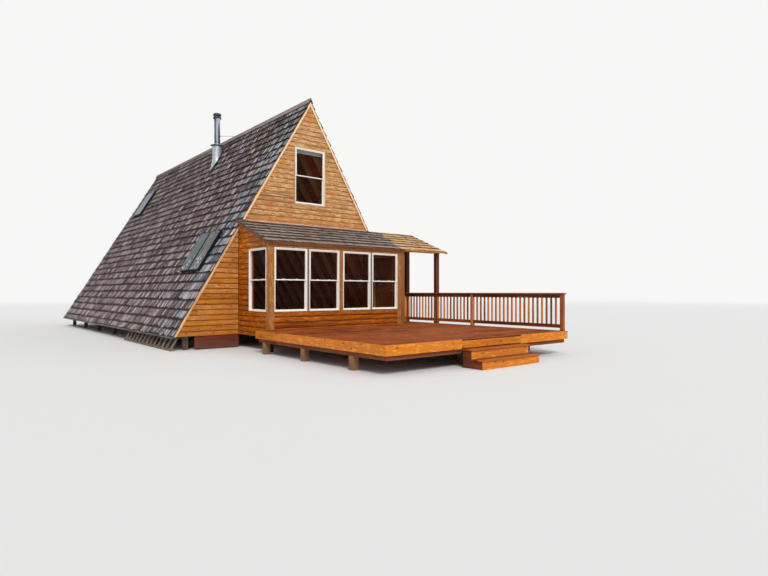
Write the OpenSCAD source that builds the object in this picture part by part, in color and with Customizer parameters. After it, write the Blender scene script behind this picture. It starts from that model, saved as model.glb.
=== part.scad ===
// A-frame cabin on short posts, with a glazed lean-to sunroom on its front
// gable, a porch roof beside it and a timber deck with steps and a railing.
// Millimetres. X is to the right seen from the front, Y runs back from the
// front gable, Z is up. The origin is on the ground under the middle of the
// front gable.

/* [A-frame] */
// Length of the main roof, from front rake to rear rake
roof_len = 14500; // [12000:100:16000]
// Half of the width across the two eaves
half_w = 4170; // [4100:10:4300]
// Height of the ridge above the eaves
rise = 7060; // [6900:20:7200]
// Height of the eaves above the ground
eave_h = 370; // [350:5:380]
// Thickness of the shakes at their butts
shake_t = 45; // [30:5:55]
// Length of each shake course that shows
course = 292; // [250:1:310]
// Length of the lowest shake course
first_course = 235; // [200:5:300]
// Thickness of the roof boards
boards_t = 40; // [25:5:50]
// Depth of a rafter, square to the roof
rafter_d = 190; // [150:10:220]
// Thickness of a rafter
rafter_w = 45; // [38:1:60]
// Spacing of the rafters
rafter_pitch = 755; // [755:1:760]
// Thickness of the gable walls
wall_t = 150; // [120:10:180]
// Distance of the wall face behind the rake
wall_y = 20; // [20:1:30]
// Width of the rake boards
rake_w = 115; // [90:5:140]

/* [Floors] */
// Height of the ground floor above the ground
floor_z = 600; // [590:5:620]
// Thickness of the ground floor
floor_t = 160; // [150:5:180]
// Height of the loft floor above the ground
loft_z = 3400; // [3380:10:3420]
// Thickness of the loft floor
loft_t = 200; // [180:10:220]
// Depth of the floor beams
beam_d = 150; // [120:10:160]
// Width of the floor beams
beam_w = 140; // [120:10:160]
// Width of the foundation posts
post_w = 120; // [100:5:140]
// Number of foundation posts under each floor beam
post_rows = 7; // [5:1:8]

/* [Sunroom] */
// Half of the outside width of the sunroom
sun_half_w = 2300; // [2290:5:2320]
// Distance of the sunroom's front face before the gable
sun_y = 1730; // [1700:10:1760]
// Thickness of the sunroom walls
sun_wall_t = 130; // [110:5:140]
// Height of the lean-to roof where it meets the gable
lean_top_z = 3570; // [3550:10:3600]
// Height of the lean-to roof at its eave
lean_eave_z = 2861; // [2850:1:2880]
// Distance of the lean-to eave before the gable
lean_y = 1760; // [1750:5:1800]
// Right-hand end of the porch roof
porch_x = 4150; // [4100:10:4200]
// Height of the wide opening from the sunroom to the main room
arch_z = 2900; // [2850:10:2950]

/* [Windows] */
// Width of a sunroom window
win_w = 980; // [960:5:990]
// Height of the sunroom window sills
win_sill_z = 1020; // [1000:5:1040]
// Height of the sunroom window heads
win_head_z = 2679; // [2660:1:2690]
// Left edge of the first sunroom window
win_x = -2165; // [-2170:1:-2160]
// Post between the two windows of a pair
mullion_w = 60; // [50:1:60]
// Post between the two pairs of windows
pair_gap = 130; // [110:5:130]
// Width of a gable window
gable_win_w = 1040; // [1000:10:1060]
// Height of the upper window sills
gable_sill_z = 4200; // [4180:10:4220]
// Height of the upper window heads
gable_head_z = 5882; // [5860:1:5900]
// Width of the casing round the gable windows
casing_w = 40; // [30:5:60]

/* [Deck] */
// Height of the deck above the ground, three equal steps
deck_z = 570; // [560:1:580]
// Left edge of the deck
deck_x0 = -2680; // [-2700:10:-2650]
// Right edge of the deck
deck_x1 = 3190; // [3150:10:3230]
// Distance of the deck's front edge before the gable
deck_y = 6780; // [6600:10:6900]
// Height of the deck fascia
fascia_h = 195; // [180:5:200]
// Left edge of the steps
step_x0 = -660; // [-800:10:-600]
// Right edge of the steps
step_x1 = 1240; // [1200:10:1280]
// Depth of a step from nosing to nosing
step_run = 275; // [260:5:290]
// Height of the railing above the deck
rail_h = 940; // [900:5:1000]
// Spacing of the balusters
baluster_pitch = 135; // [120:1:140]

/* [Stovepipe] */
// Outside radius of the stovepipe
pipe_r = 110; // [80:5:120]
// Height of the top of the pipe above the ground
pipe_top_z = 8140; // [7900:10:8300]
// Place of the pipe across the roof
pipe_x = -505; // [-520:5:-490]
// Place of the pipe along the roof
pipe_y = 5800; // [5790:5:5810]

/* [Hidden] */
$fn = 48;
eps = 1;

// The slope of the main roof and its planes
plate_z = eave_h + 90;
slope = atan2(rise, half_w);
ridge_z = eave_h + rise;
under_shakes = shake_t;
under_boards = shake_t + boards_t;
under_rafters = under_boards + rafter_d;
slope_len = norm([half_w, rise]);
ridge_board_t = 18;
// Half width at height z of a plane d below the outside of the roof
function plane_x(z, d) = half_w * (1 - (z - eave_h) / rise) - d / sin(slope);
// Height at half width x of a plane d below the outside of the roof
function plane_z(x, d) = eave_h + rise * (1 - (x + d / sin(slope)) / half_w);
// Point of the left slope: s up from the eave and n out from the roof
function on_slope(s, n) = [
    -half_w + s * cos(slope) - n * sin(slope),
    eave_h + s * sin(slope) + n * cos(slope)
];
// Distance up the slope of the point at height z
function slope_at(z) = (z - eave_h) / sin(slope);

// Joints between the sheets of the roof and between shakes
sheet_joint = 3;
shake_joint = 6;
// How far the shakes reach past the rake
shake_over = 30;
// The part of its thickness that a shake or shingle loses from butt to head
taper = 0.6;

// The gable walls
front_y0 = wall_y;
front_y1 = wall_y + wall_t;
rear_y1 = roof_len - wall_y;
rear_y0 = rear_y1 - wall_t;

// The lean-to roof
lean_pitch = atan2(lean_top_z - lean_eave_z, lean_y);
shingle_t = 25;
lean_boards_t = 40;
lean_t = shingle_t + lean_boards_t;
lean_gap = 32;
lean_over = 100;
lean_x0 = -sun_half_w - lean_over;
lean_trim = 20;
// Height at y of a plane d below the top of the lean-to roof
function lean_z(y, d) = lean_top_z + y * tan(lean_pitch) - d / cos(lean_pitch);
// Half width of the part of the lean-to roof that reaches the gable wall
lean_tongue = 2180;
// Where the weathered shingles give way to new ones
new_shingle_x = 2480;
// Level distances between the butts of the shingles: the lowest course and the others
lean_first = 330;
lean_course = 253;

sun_in = sun_half_w - sun_wall_t;
sun_in_y = -sun_y + sun_wall_t;

// The doorway in the sunroom's right-hand wall
door_w = 910;
door_h = 2030;
door_jamb = 40;
door_y0 = -1300;
door_y1 = door_y0 + door_w;

// The windows
win_h = win_head_z - win_sill_z;
win_step = win_w + mullion_w;
win_pair = 2 * win_w + mullion_w + pair_gap;
window_x = [win_x, win_x + win_step, win_x + win_pair, win_x + win_pair + win_step];
gable_win_h = gable_head_z - gable_sill_z;
rear_window_x = [-1500, 1500 - win_w];
// The sunroom's side window starts at its corner post
side_win_y0 = sun_in_y;
frame_d = 90;
frame_proud = 25;
pane_t = 6;
// The members of a hung window: width of its frame and of a sash rail, depth of
// a sash, and where the fixed upper sash and the lower one behind it start
jamb = 26;
sash_rail = 30;
sash_d = 34;
upper_sash_y = 10;
lower_sash_y = upper_sash_y + sash_d;

// The rafters: one against each gable wall and the rest evenly between them
first_rafter_y = 770;
rafter_count = floor((rear_y0 - first_rafter_y) / rafter_pitch) + 1;
rafter_y = concat(
    [front_y1 + rafter_w / 2],
    [for (i = [0 : rafter_count - 1]) first_rafter_y + i * rafter_pitch],
    [rear_y0 - rafter_w / 2]
);
// The rafter that is cut for the rear skylight, counted from the front
cut_rafter = 16;

// The skylights: distance up the slope, length, width and place along the roof.
// The front pair fits between rafters and the rear one straddles the cut rafter.
front_light_z = 2130;
rear_light_z = 5120;
skylight_wall = 40;
skylight_proud = 65;
skylight_len = 1346;
skylights = [
    [slope_at(front_light_z), skylight_len, 680, first_rafter_y + rafter_pitch / 2],
    [slope_at(front_light_z), skylight_len, 680, first_rafter_y + rafter_pitch * 1.5],
    [slope_at(rear_light_z), skylight_len, 1100, first_rafter_y + rafter_pitch * (cut_rafter + 0.2)]
];
// How far a cut through the roof reaches on each side of its outer face
cut_reach = 500;

// The foundations
side_beam_x = 3730;
beam_z = floor_z - floor_t - beam_d;
post_y0 = front_y1 + post_w / 2;
post_y1 = rear_y0 - post_w / 2;

// The porch
porch_post_x = 3900;
porch_post_w = 130;
porch_beam_w = 90;
porch_front_y = -1540;
porch_rear_y = -80;
// Heights of the undersides of the two beams
porch_front_z = 2790;
porch_rear_z = lean_z(porch_rear_y, lean_t) - 140;

// The deck
deck_t = 30;
fascia_t = 25;
joist_w = 38;
joist_d = 140;
joist_z = deck_z - deck_t - joist_d;
deck_beam_z = 284;
deck_beam_w = 60;
deck_beam_inset = 60;
deck_post_w = 140;
deck_post_y = [-5650, -3850, -2050];
// The landing before the door: its left edge, its back edge, just clear of the
// wall, and the middle of its own post
landing_x = sun_half_w;
deck_back = front_y0 - 5;
landing_post_y = -330;
// Joints between the boards of the fascia
seam = 3;
riser_h = deck_z / 3;
tread_t = 28;
riser_t = 25;
nosing = 30;
// How far the risers and stringers stand in from the ends of the treads
riser_inset = 20;
// How far the narrow fascia board over the steps reaches past them
strip_end = 50;

// The railing
rail_x = 3100;
rail_post_w = 90;
rail_post_y = [-6690, -3780, -870];
cap_w = 140;
cap_t = 38;
rail_t = 38;
rail_depth = 89;
bottom_rail_z = deck_z + 70;
cap_z = deck_z + rail_h - cap_t;

// The stovepipe
collar_z = 7100;
collar_r = 252;
collar_h = 60;
collar_t = 8;
flash_top_z = 7070;
flash_r = 170;
flash_flare_z = 6750;
flash_curve = 1750;
sheet_t = 5;

// A flat outline in X and Z, carried back from y0 to y1
module carried(y0, y1) {
    translate([0, y1, 0]) rotate([90, 0, 0]) linear_extrude(y1 - y0) children();
}

// A flat outline in Y and Z, carried right from x0 to x1
module across(x0, x1) {
    translate([x0, 0, 0]) rotate([90, 0, 90]) linear_extrude(x1 - x0) children();
}

// A box given by its lowest and highest corners
module block(low, high) {
    translate(low) cube(high - low);
}

// The frame of the left slope: X up the slope, Y along it and Z out of it
module left_slope() {
    translate([-half_w, 0, eave_h]) rotate([0, -slope, 0]) children();
}

// One layer of the left slope between two depths below its outside
module roof_layer(d0, d1) {
    polygon([
        [-plane_x(eave_h, d0), eave_h], [-plane_x(eave_h, d1), eave_h],
        [0, plane_z(0, d1)], [0, plane_z(0, d0)]
    ]);
}

// A cut through the left slope at skylight k, wider than it by a margin
module skylight_cut(k, margin) {
    left_slope() translate([k[0] - margin, k[3] - k[2] / 2 - margin, -cut_reach])
        cube([k[1] + 2 * margin, k[2] + 2 * margin, 2 * cut_reach]);
}

// The holes that the skylights make in the left slope
module skylight_holes(margin) for (k = skylights) skylight_cut(k, margin);

// The framed hole round the stovepipe, with a joint on each side of it from
// eave to ridge
module pipe_hole(joint) {
    clearance = 20;
    half = pipe_r + clearance;
    translate([pipe_x - half, pipe_y - half, eave_h]) cube([2 * half, 2 * half, 2 * rise]);
    for (y = [pipe_y - half - joint, pipe_y + half])
        translate([-2 * half_w, y, 0]) cube([3 * half_w, joint, 2 * ridge_z]);
}

// The outline of a gable wall from height z0 to height z1
module gable_outline(z0, z1) {
    polygon([
        [-plane_x(z0, under_boards), z0], [plane_x(z0, under_boards), z0],
        [plane_x(z1, under_boards), z1], [-plane_x(z1, under_boards), z1]
    ]);
}

module foundation_posts() color("dimgray") {
    for (x = [-side_beam_x, side_beam_x], i = [0 : post_rows - 1])
        translate([x, post_y0 + i * (post_y1 - post_y0) / (post_rows - 1), 0])
            translate([-post_w / 2, -post_w / 2, 0]) cube([post_w, post_w, beam_z]);
    for (i = [0 : post_rows - 1])
        translate([-beam_w / 2, i * post_y1 / (post_rows - 1) - post_w / 2, 0])
            cube([beam_w, post_w, beam_z]);
    for (x = [-sun_half_w + sun_wall_t / 2, sun_half_w - sun_wall_t / 2])
        translate([x - post_w / 2, -sun_y, 0]) cube([post_w, post_w, eave_h]);
}

module floor_beams() color("saddlebrown") {
    for (x = [-side_beam_x, side_beam_x])
        block([x - beam_w / 2, front_y1, beam_z], [x + beam_w / 2, rear_y0, floor_z - floor_t]);
    block([-beam_w / 2, sun_in_y, beam_z], [beam_w / 2, rear_y0, floor_z - floor_t]);
}

module floor() color("burlywood") {
    bottom = floor_z - floor_t;
    carried(front_y1, rear_y0) polygon([
        [-plane_x(bottom, under_rafters), bottom], [plane_x(bottom, under_rafters), bottom],
        [plane_x(floor_z, under_rafters), floor_z], [-plane_x(floor_z, under_rafters), floor_z]
    ]);
    block([-sun_in, sun_in_y, bottom], [sun_in, front_y1 + eps, floor_z]);
}

module loft_floor() color("burlywood") {
    bottom = loft_z - loft_t;
    carried(front_y1, rear_y0) polygon([
        [-plane_x(bottom, under_rafters), bottom], [plane_x(bottom, under_rafters), bottom],
        [plane_x(loft_z, under_rafters), loft_z], [-plane_x(loft_z, under_rafters), loft_z]
    ]);
}

// One rafter of the left slope
module rafter_outline() {
    half_ridge = rafter_w / 2;
    polygon([
        [-plane_x(plate_z, under_boards), plate_z], [-plane_x(plate_z, under_rafters), plate_z],
        [-half_ridge, plane_z(half_ridge, under_rafters)],
        [-half_ridge, plane_z(half_ridge, under_boards)]
    ]);
}

module rafter_set() {
    for (y = rafter_y) carried(y - rafter_w / 2, y + rafter_w / 2) rafter_outline();
}

// The timbers along the eaves that the rafters stand on
module sill_plates() color("peru")
    for (side = [0, 1]) mirror([side, 0, 0])
        carried(front_y1, rear_y0) polygon([
            [-plane_x(eave_h, under_boards), eave_h], [-plane_x(eave_h, under_rafters), eave_h],
            [-plane_x(plate_z, under_rafters), plate_z], [-plane_x(plate_z, under_boards), plate_z]
        ]);

// Trimmers above and below the rear skylight, where one rafter is cut
module skylight_trimmers() {
    rear = skylights[2];
    y = first_rafter_y + rafter_pitch * (cut_rafter - 1);
    for (s = [rear[0] - rafter_w, rear[0] + rear[1]])
        left_slope() translate([s, y, -under_rafters]) cube([rafter_w, 2 * rafter_pitch, rafter_d]);
}

module left_rafters() color("peru") {
    difference() {
        rafter_set();
        skylight_cut(skylights[2], 0);
    }
    skylight_trimmers();
}

module right_rafters() color("peru") mirror([1, 0, 0]) rafter_set();

module ridge_beam() color("peru")
    carried(front_y1, rear_y0) polygon([
        [-rafter_w / 2, plane_z(rafter_w / 2, under_rafters)],
        [rafter_w / 2, plane_z(rafter_w / 2, under_rafters)],
        [rafter_w / 2, plane_z(rafter_w / 2, under_boards)], [0, plane_z(0, under_boards)],
        [-rafter_w / 2, plane_z(rafter_w / 2, under_boards)]
    ]);

module left_roof() color("tan") difference() {
    carried(0, roof_len) roof_layer(under_shakes, under_boards);
    skylight_holes(-skylight_wall);
    pipe_hole(sheet_joint);
}

module right_roof() color("tan") mirror([1, 0, 0])
    carried(0, roof_len) roof_layer(under_shakes, under_boards);

// The shakes as stepped courses, each one thick at its butt and thin at its head
module shake_outline() {
    drop = shake_t * taper;
    butts = concat([0], [for (s = first_course; s < slope_len - course; s = s + course) s]);
    last = butts[len(butts) - 1];
    function top_s(n) = (half_w + n * sin(slope)) / cos(slope);
    polygon(concat(
        [for (i = [1 : len(butts) - 1]) each [
            on_slope(butts[i - 1], 0), on_slope(butts[i], -drop)
        ]],
        [on_slope(last, 0), on_slope(top_s(-drop), -drop)],
        [on_slope(top_s(-shake_t), -shake_t), [-plane_x(eave_h, shake_t), eave_h]]
    ));
}

module left_shakes() color("rosybrown") difference() {
    carried(-shake_over, roof_len + shake_over) shake_outline();
    skylight_holes(4);
    pipe_hole(shake_joint);
}

module right_shakes() color("rosybrown") mirror([1, 0, 0])
    carried(-shake_over, roof_len + shake_over) shake_outline();

module ridge_cap() color("lightgray") {
    cap_x = 80;
    carried(-shake_over, roof_len + shake_over) polygon([
        [0, plane_z(0, 0)], [-cap_x, plane_z(cap_x, 0)],
        [-cap_x, plane_z(cap_x, -ridge_board_t)], [0, plane_z(0, -ridge_board_t)],
        [cap_x, plane_z(cap_x, -ridge_board_t)], [cap_x, plane_z(cap_x, 0)]
    ]);
}

// The space of the sunroom under the top of its roof, which the rake boards stop at
module lean_space() {
    across(-sun_half_w, sun_half_w) polygon([
        [-lean_y, 0], [front_y0 + eps, 0], [front_y0 + eps, lean_top_z], [-lean_y, lean_eave_z]
    ]);
}

module rake_boards() color("navajowhite") {
    rake_t = 22;
    gap = 2;
    for (side = [0, 1]) mirror([side, 0, 0]) {
        difference() {
            carried(-rake_t, 0) rake_outline(gap);
            lean_space();
        }
        carried(roof_len, roof_len + rake_t) rake_outline(gap);
    }
}

// A rake board on the left slope, cut plumb near the ridge
module rake_outline(gap) {
    d0 = under_shakes;
    d1 = under_shakes + rake_w;
    polygon([
        [-plane_x(eave_h, d0), eave_h], [-plane_x(eave_h, d1), eave_h],
        [-gap, plane_z(gap, d1)], [-gap, plane_z(gap, d0)]
    ]);
}

// A board along the underside of each eave, set back from the shakes
module eave_boards() color("gainsboro") {
    board_t = 38;
    set_back = 8;
    lap = 20;
    for (side = [0, 1]) mirror([side, 0, 0])
        block([-plane_x(eave_h, 0) + set_back, 0, eave_h - board_t],
              [-plane_x(eave_h, under_boards) + lap, roof_len, eave_h]);
}

module front_wall() color("goldenrod")
    for (side = [0, 1]) mirror([side, 0, 0])
        carried(front_y0, front_y1) polygon([
            [-plane_x(eave_h, under_boards), eave_h], [-sun_in, eave_h],
            [-sun_in, loft_z - loft_t],
            [-plane_x(loft_z - loft_t, under_boards), loft_z - loft_t]
        ]);

module front_gable() color("goldenrod") difference() {
    carried(front_y0, front_y1) union() {
        gable_outline(loft_z - loft_t, plane_z(0, under_boards));
        translate([-sun_in, arch_z]) square([2 * sun_in, loft_z - loft_t - arch_z + eps]);
    }
    translate([-gable_win_w / 2, 0, gable_sill_z]) cube([gable_win_w, 2 * wall_t, gable_win_h]);
}

module rear_wall() color("goldenrod") difference() {
    carried(rear_y0, rear_y1) gable_outline(eave_h, loft_z - loft_t);
    for (x = rear_window_x)
        translate([x, rear_y0 - eps, win_sill_z]) cube([win_w, 2 * wall_t, win_h]);
}

module rear_gable() color("goldenrod") difference() {
    carried(rear_y0, rear_y1) gable_outline(loft_z - loft_t, plane_z(0, under_boards));
    translate([-gable_win_w / 2, rear_y0 - eps, gable_sill_z])
        cube([gable_win_w, 2 * wall_t, gable_win_h]);
}

// A hung window seen from its front at y = 0: frame, fixed upper sash and
// lower sash set behind it
module hung_window(w, h) {
    half_rail = sash_rail / 2;
    mid = h / 2;
    ring(0, 0, w, h, jamb, 0, frame_d);
    ring(jamb, mid - half_rail, w - 2 * jamb, h - jamb - mid + half_rail, sash_rail,
         upper_sash_y, upper_sash_y + sash_d);
    ring(jamb, jamb, w - 2 * jamb, mid + half_rail - jamb, sash_rail,
         lower_sash_y, lower_sash_y + sash_d);
}

// A rectangular ring in X and Z with members of width t, from y0 to y1
module ring(x, z, w, h, t, y0, y1) {
    carried(y0, y1) difference() {
        translate([x, z]) square([w, h]);
        translate([x + t, z + t]) square([w - 2 * t, h - 2 * t]);
    }
}

// The two panes of a hung window, each in the middle of its sash
module hung_panes(w, h) {
    mid = h / 2;
    edge = jamb + sash_rail;
    inset = (sash_d - pane_t) / 2;
    upper = upper_sash_y + inset;
    lower = lower_sash_y + inset;
    block([edge, upper, mid + sash_rail / 2], [w - edge, upper + pane_t, h - edge]);
    block([edge, lower, edge], [w - edge, lower + pane_t, mid - sash_rail / 2]);
}

// The places of the gable windows: children(0) upper and children(1) lower
module at_gable_windows() {
    face = front_y0 - frame_proud;
    back = rear_y1 + frame_proud;
    translate([-gable_win_w / 2, face, gable_sill_z]) children(0);
    translate([gable_win_w / 2, back, gable_sill_z]) rotate([0, 0, 180]) children(0);
    for (x = rear_window_x)
        translate([x + win_w, back, win_sill_z]) rotate([0, 0, 180]) children(1);
}

module gable_windows() color("white") at_gable_windows() {
    hung_window(gable_win_w, gable_win_h);
    hung_window(win_w, win_h);
}

module gable_glass() color("lightblue") at_gable_windows() {
    hung_panes(gable_win_w, gable_win_h);
    hung_panes(win_w, win_h);
}

// A flat casing round a window, against the wall face
module casing(w, h) {
    casing_t = 22;
    ring(-casing_w, -casing_w, w + 2 * casing_w, h + 2 * casing_w, casing_w,
         frame_proud - casing_t, frame_proud);
}

module window_casings() color("navajowhite") at_gable_windows() {
    casing(gable_win_w, gable_win_h);
    casing(win_w, win_h);
}

module sunroom_front_wall() color("darkorange") difference() {
    across(-sun_half_w, sun_half_w) polygon([
        [-sun_y, eave_h], [sun_in_y, eave_h],
        [sun_in_y, lean_z(sun_in_y, lean_t)], [-sun_y, lean_z(-sun_y, lean_t)]
    ]);
    for (x = window_x)
        translate([x, -sun_y - eps, win_sill_z]) cube([win_w, 2 * sun_wall_t, win_h]);
}

// The boards round the sunroom windows: a header, corner boards and a post
// between the pairs
module sunroom_trim() color("navajowhite") {
    board_t = 20;
    top = lean_z(-sun_y, lean_t) - 4;
    face = -sun_y - board_t;
    last = window_x[3] + win_w;
    gap = 4;
    block([-sun_half_w, face, win_head_z], [sun_half_w, -sun_y, top]);
    block([-sun_half_w, face, eave_h], [window_x[0], -sun_y, win_head_z]);
    block([window_x[1] + win_w, face, win_sill_z], [window_x[2], -sun_y, win_head_z]);
    for (i = [0, 1])
        block([last + i * (sun_half_w - last + gap) / 2, face, eave_h],
              [last + (i + 1) * (sun_half_w - last) / 2 - (1 - i) * gap / 2, -sun_y, win_head_z]);
    block([-sun_half_w - board_t, face, eave_h], [-sun_half_w, sun_in_y, top]);
}

// The outline of a sunroom side wall in Y and Z
module side_wall_outline() {
    polygon([
        [sun_in_y, eave_h], [front_y0, eave_h], [front_y0, lean_z(-lean_gap, lean_t)],
        [-lean_gap, lean_z(-lean_gap, lean_t)], [sun_in_y, lean_z(sun_in_y, lean_t)]
    ]);
}

// The main roof where it crosses the top of a sunroom side wall
module roof_notch() {
    for (side = [0, 1]) mirror([side, 0, 0])
        carried(-shake_over - 2, front_y0 + eps) roof_layer(-20, under_boards + 2);
}

module sunroom_left_wall() color("darkorange") difference() {
    across(-sun_half_w, -sun_in) side_wall_outline();
    translate([-sun_half_w - eps, side_win_y0 - eps, win_sill_z])
        cube([2 * sun_wall_t, win_w + eps, win_h]);
    roof_notch();
}

module sunroom_right_wall() color("darkorange") difference() {
    across(sun_in, sun_half_w) side_wall_outline();
    translate([sun_in - eps, door_y0 - door_jamb, floor_z])
        cube([2 * sun_wall_t, door_w + 2 * door_jamb, door_h + door_jamb]);
    roof_notch();
}

// The places of the five sunroom windows
module at_sunroom_windows() {
    for (x = window_x) translate([x, -sun_y - frame_proud, win_sill_z]) children();
    translate([-sun_half_w - frame_proud, side_win_y0 + win_w, win_sill_z])
        rotate([0, 0, -90]) children();
}

module sunroom_windows() color("white") at_sunroom_windows() hung_window(win_w, win_h);

module sunroom_glass() color("lightblue") at_sunroom_windows() hung_panes(win_w, win_h);

module door_frame() color("navajowhite") {
    proud = 15;
    across(sun_in, sun_half_w + proud) difference() {
        translate([door_y0 - door_jamb, floor_z])
            square([door_w + 2 * door_jamb, door_h + door_jamb]);
        translate([door_y0, floor_z - eps]) square([door_w, door_h + eps]);
    }
}

// A stile-and-rail door with two sunk panels on each face and a knob on each side
module entry_door() color("sienna") {
    leaf_x = sun_half_w - 60;
    leaf_t = 45;
    stile_w = 130;
    sunk = 12;
    // Foot and height of each panel
    panels = [[200, 720], [1020, 800]];
    knob_r = 26;
    knob_len = 60;
    knob_y = door_y0 + stile_w / 2;
    knob_z = floor_z + 960;
    difference() {
        block([leaf_x, door_y0, floor_z], [leaf_x + leaf_t, door_y1, floor_z + door_h]);
        for (face = [leaf_x - sunk, leaf_x + leaf_t - sunk], p = panels)
            translate([face, door_y0 + stile_w, floor_z + p[0]])
                cube([2 * sunk, door_w - 2 * stile_w, p[1]]);
    }
    for (x = [leaf_x - knob_len, leaf_x + leaf_t])
        translate([x, knob_y, knob_z]) rotate([0, 90, 0]) cylinder(h = knob_len, r = knob_r);
}

// One layer of the lean-to roof between two depths, from x0 to x1
module lean_layer(d0, d1, x0, x1) {
    across(x0, x1) polygon([
        [-lean_y, lean_z(-lean_y, d0)], [-lean_y, lean_z(-lean_y, d1)],
        [-lean_gap, lean_z(-lean_gap, d1)], [-lean_gap, lean_z(-lean_gap, d0)]
    ]);
}

// The tongue of the lean-to roof that reaches the gable wall between the rakes
module lean_tongue(d0, d1) {
    across(-lean_tongue, lean_tongue) polygon([
        [-lean_gap - eps, lean_z(-lean_gap - eps, d0)], [-lean_gap - eps, lean_z(-lean_gap - eps, d1)],
        [front_y0, lean_z(-lean_gap, d1)], [front_y0, lean_z(-lean_gap, d0)]
    ]);
}

module lean_to_roof() color("tan") {
    lean_layer(shingle_t, lean_t, lean_x0, porch_x);
    lean_tongue(shingle_t, lean_t);
}

// Shingle courses in Y and Z, thick at each butt and thin at each head
module shingle_outline() {
    drop = shingle_t * taper;
    butts = concat([0], [for (i = [0 : 5]) lean_first + i * lean_course], [lean_y - lean_gap]);
    polygon(concat(
        [for (i = [1 : len(butts) - 1]) each [
            [-lean_y + butts[i - 1], lean_z(-lean_y + butts[i - 1], 0)],
            [-lean_y + butts[i], lean_z(-lean_y + butts[i], drop)]
        ]],
        [[-lean_gap, lean_z(-lean_gap, shingle_t)], [-lean_y, lean_z(-lean_y, shingle_t)]]
    ));
}

module sunroom_shingles() color("dimgray") {
    across(lean_x0, new_shingle_x) shingle_outline();
    lean_tongue(shingle_t * taper, shingle_t);
}

module porch_shingles() color("burlywood") across(new_shingle_x, porch_x) shingle_outline();

// A board under the edge of the lean-to shingles, up its slope
module lean_rake(x) {
    depth = 90;
    across(x, x + lean_trim) polygon([
        [-lean_y, lean_z(-lean_y, shingle_t)], [-lean_y, lean_z(-lean_y, depth)],
        [-lean_gap, lean_z(-lean_gap, depth)], [-lean_gap, lean_z(-lean_gap, shingle_t)]
    ]);
}

// A board along the eave of the lean-to roof, from x0 to x1
module lean_eave(x0, x1) {
    depth = 66;
    block([x0, -lean_y - lean_trim, lean_eave_z - depth], [x1, -lean_y, lean_eave_z - shingle_t]);
}

module lean_to_fascia() color("sienna") {
    lean_rake(lean_x0 - lean_trim);
    lean_eave(lean_x0 - lean_trim, sun_half_w);
}

module porch_fascia() color("tan") {
    lean_rake(porch_x);
    lean_eave(sun_half_w + seam, porch_x + lean_trim);
}

// A bent sheet that covers the top of the shingles and stands against the gable
module apron_flashing() color("silver") {
    half = 2090;
    lap = 100;
    sheet = 4;
    across(-half, half) polygon([
        [-lean_gap - lap, lean_z(-lean_gap - lap, 0)], [-lean_gap, lean_z(-lean_gap, 0)],
        [front_y0, lean_z(-lean_gap, 0)], [front_y0, lean_z(-lean_gap, 0) + lap],
        [front_y0 - sheet, lean_z(-lean_gap, 0) + lap],
        [front_y0 - sheet, lean_z(-lean_gap, -sheet)],
        [-lean_gap, lean_z(-lean_gap, -sheet)],
        [-lean_gap - lap, lean_z(-lean_gap - lap, -sheet)]
    ]);
}

// Rafters between the two porch beams, under the roof boards
module porch_rafters() color("tan") {
    rafter_t = 38;
    depth = 90;
    first = sun_half_w + 20;
    last = porch_post_x + 60;
    count = 4;
    y0 = porch_front_y + porch_beam_w / 2;
    y1 = porch_rear_y - porch_beam_w / 2;
    for (i = [0 : count - 1]) {
        x = first + i * (last - first - rafter_t) / (count - 1);
        across(x, x + rafter_t) polygon([
            [y0, lean_z(y0, lean_t)], [y0, lean_z(y0, lean_t + depth)],
            [y1, lean_z(y1, lean_t + depth)], [y1, lean_z(y1, lean_t)]
        ]);
    }
}

// Two beams from the sunroom's wall to just past the posts, cut to the roof's pitch
module porch_beams() color("tan") {
    x1 = porch_post_x + 100;
    half = porch_beam_w / 2;
    for (b = [[porch_front_y, porch_front_z], [porch_rear_y, porch_rear_z]]) {
        y0 = b[0] - half;
        y1 = b[0] + half;
        across(sun_half_w, x1)
            polygon([[y0, b[1]], [y1, b[1]], [y1, lean_z(y1, lean_t)], [y0, lean_z(y0, lean_t)]]);
    }
}

module porch_posts() color("saddlebrown") {
    half = porch_post_w / 2;
    rear_y = porch_rear_y + porch_beam_w / 2 - porch_post_w;
    block([porch_post_x - half, porch_front_y - half, 0],
          [porch_post_x + half, porch_front_y + half, porch_front_z]);
    block([porch_post_x - half, rear_y, 0], [porch_post_x + half, rear_y + porch_post_w, porch_rear_z]);
}

// The deck's plan inside its fascia, shrunk by inset, from z0 to z1
module deck_slab(inset, z0, z1) {
    edge = fascia_t + inset;
    block([deck_x0 + edge, -deck_y + edge, z0], [deck_x1 - edge, -sun_y - inset, z1]);
    block([landing_x + inset, -sun_y - inset - eps, z0], [deck_x1 - edge, deck_back - inset, z1]);
}

// The deck's boards as one slab, which runs out over the top riser
module deck_boards() color("indianred") {
    deck_slab(0, deck_z - deck_t, deck_z);
    block([step_x0 + seam, -deck_y, deck_z - deck_t],
          [step_x1 + strip_end - seam, -deck_y + fascia_t + eps, deck_z]);
}

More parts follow.
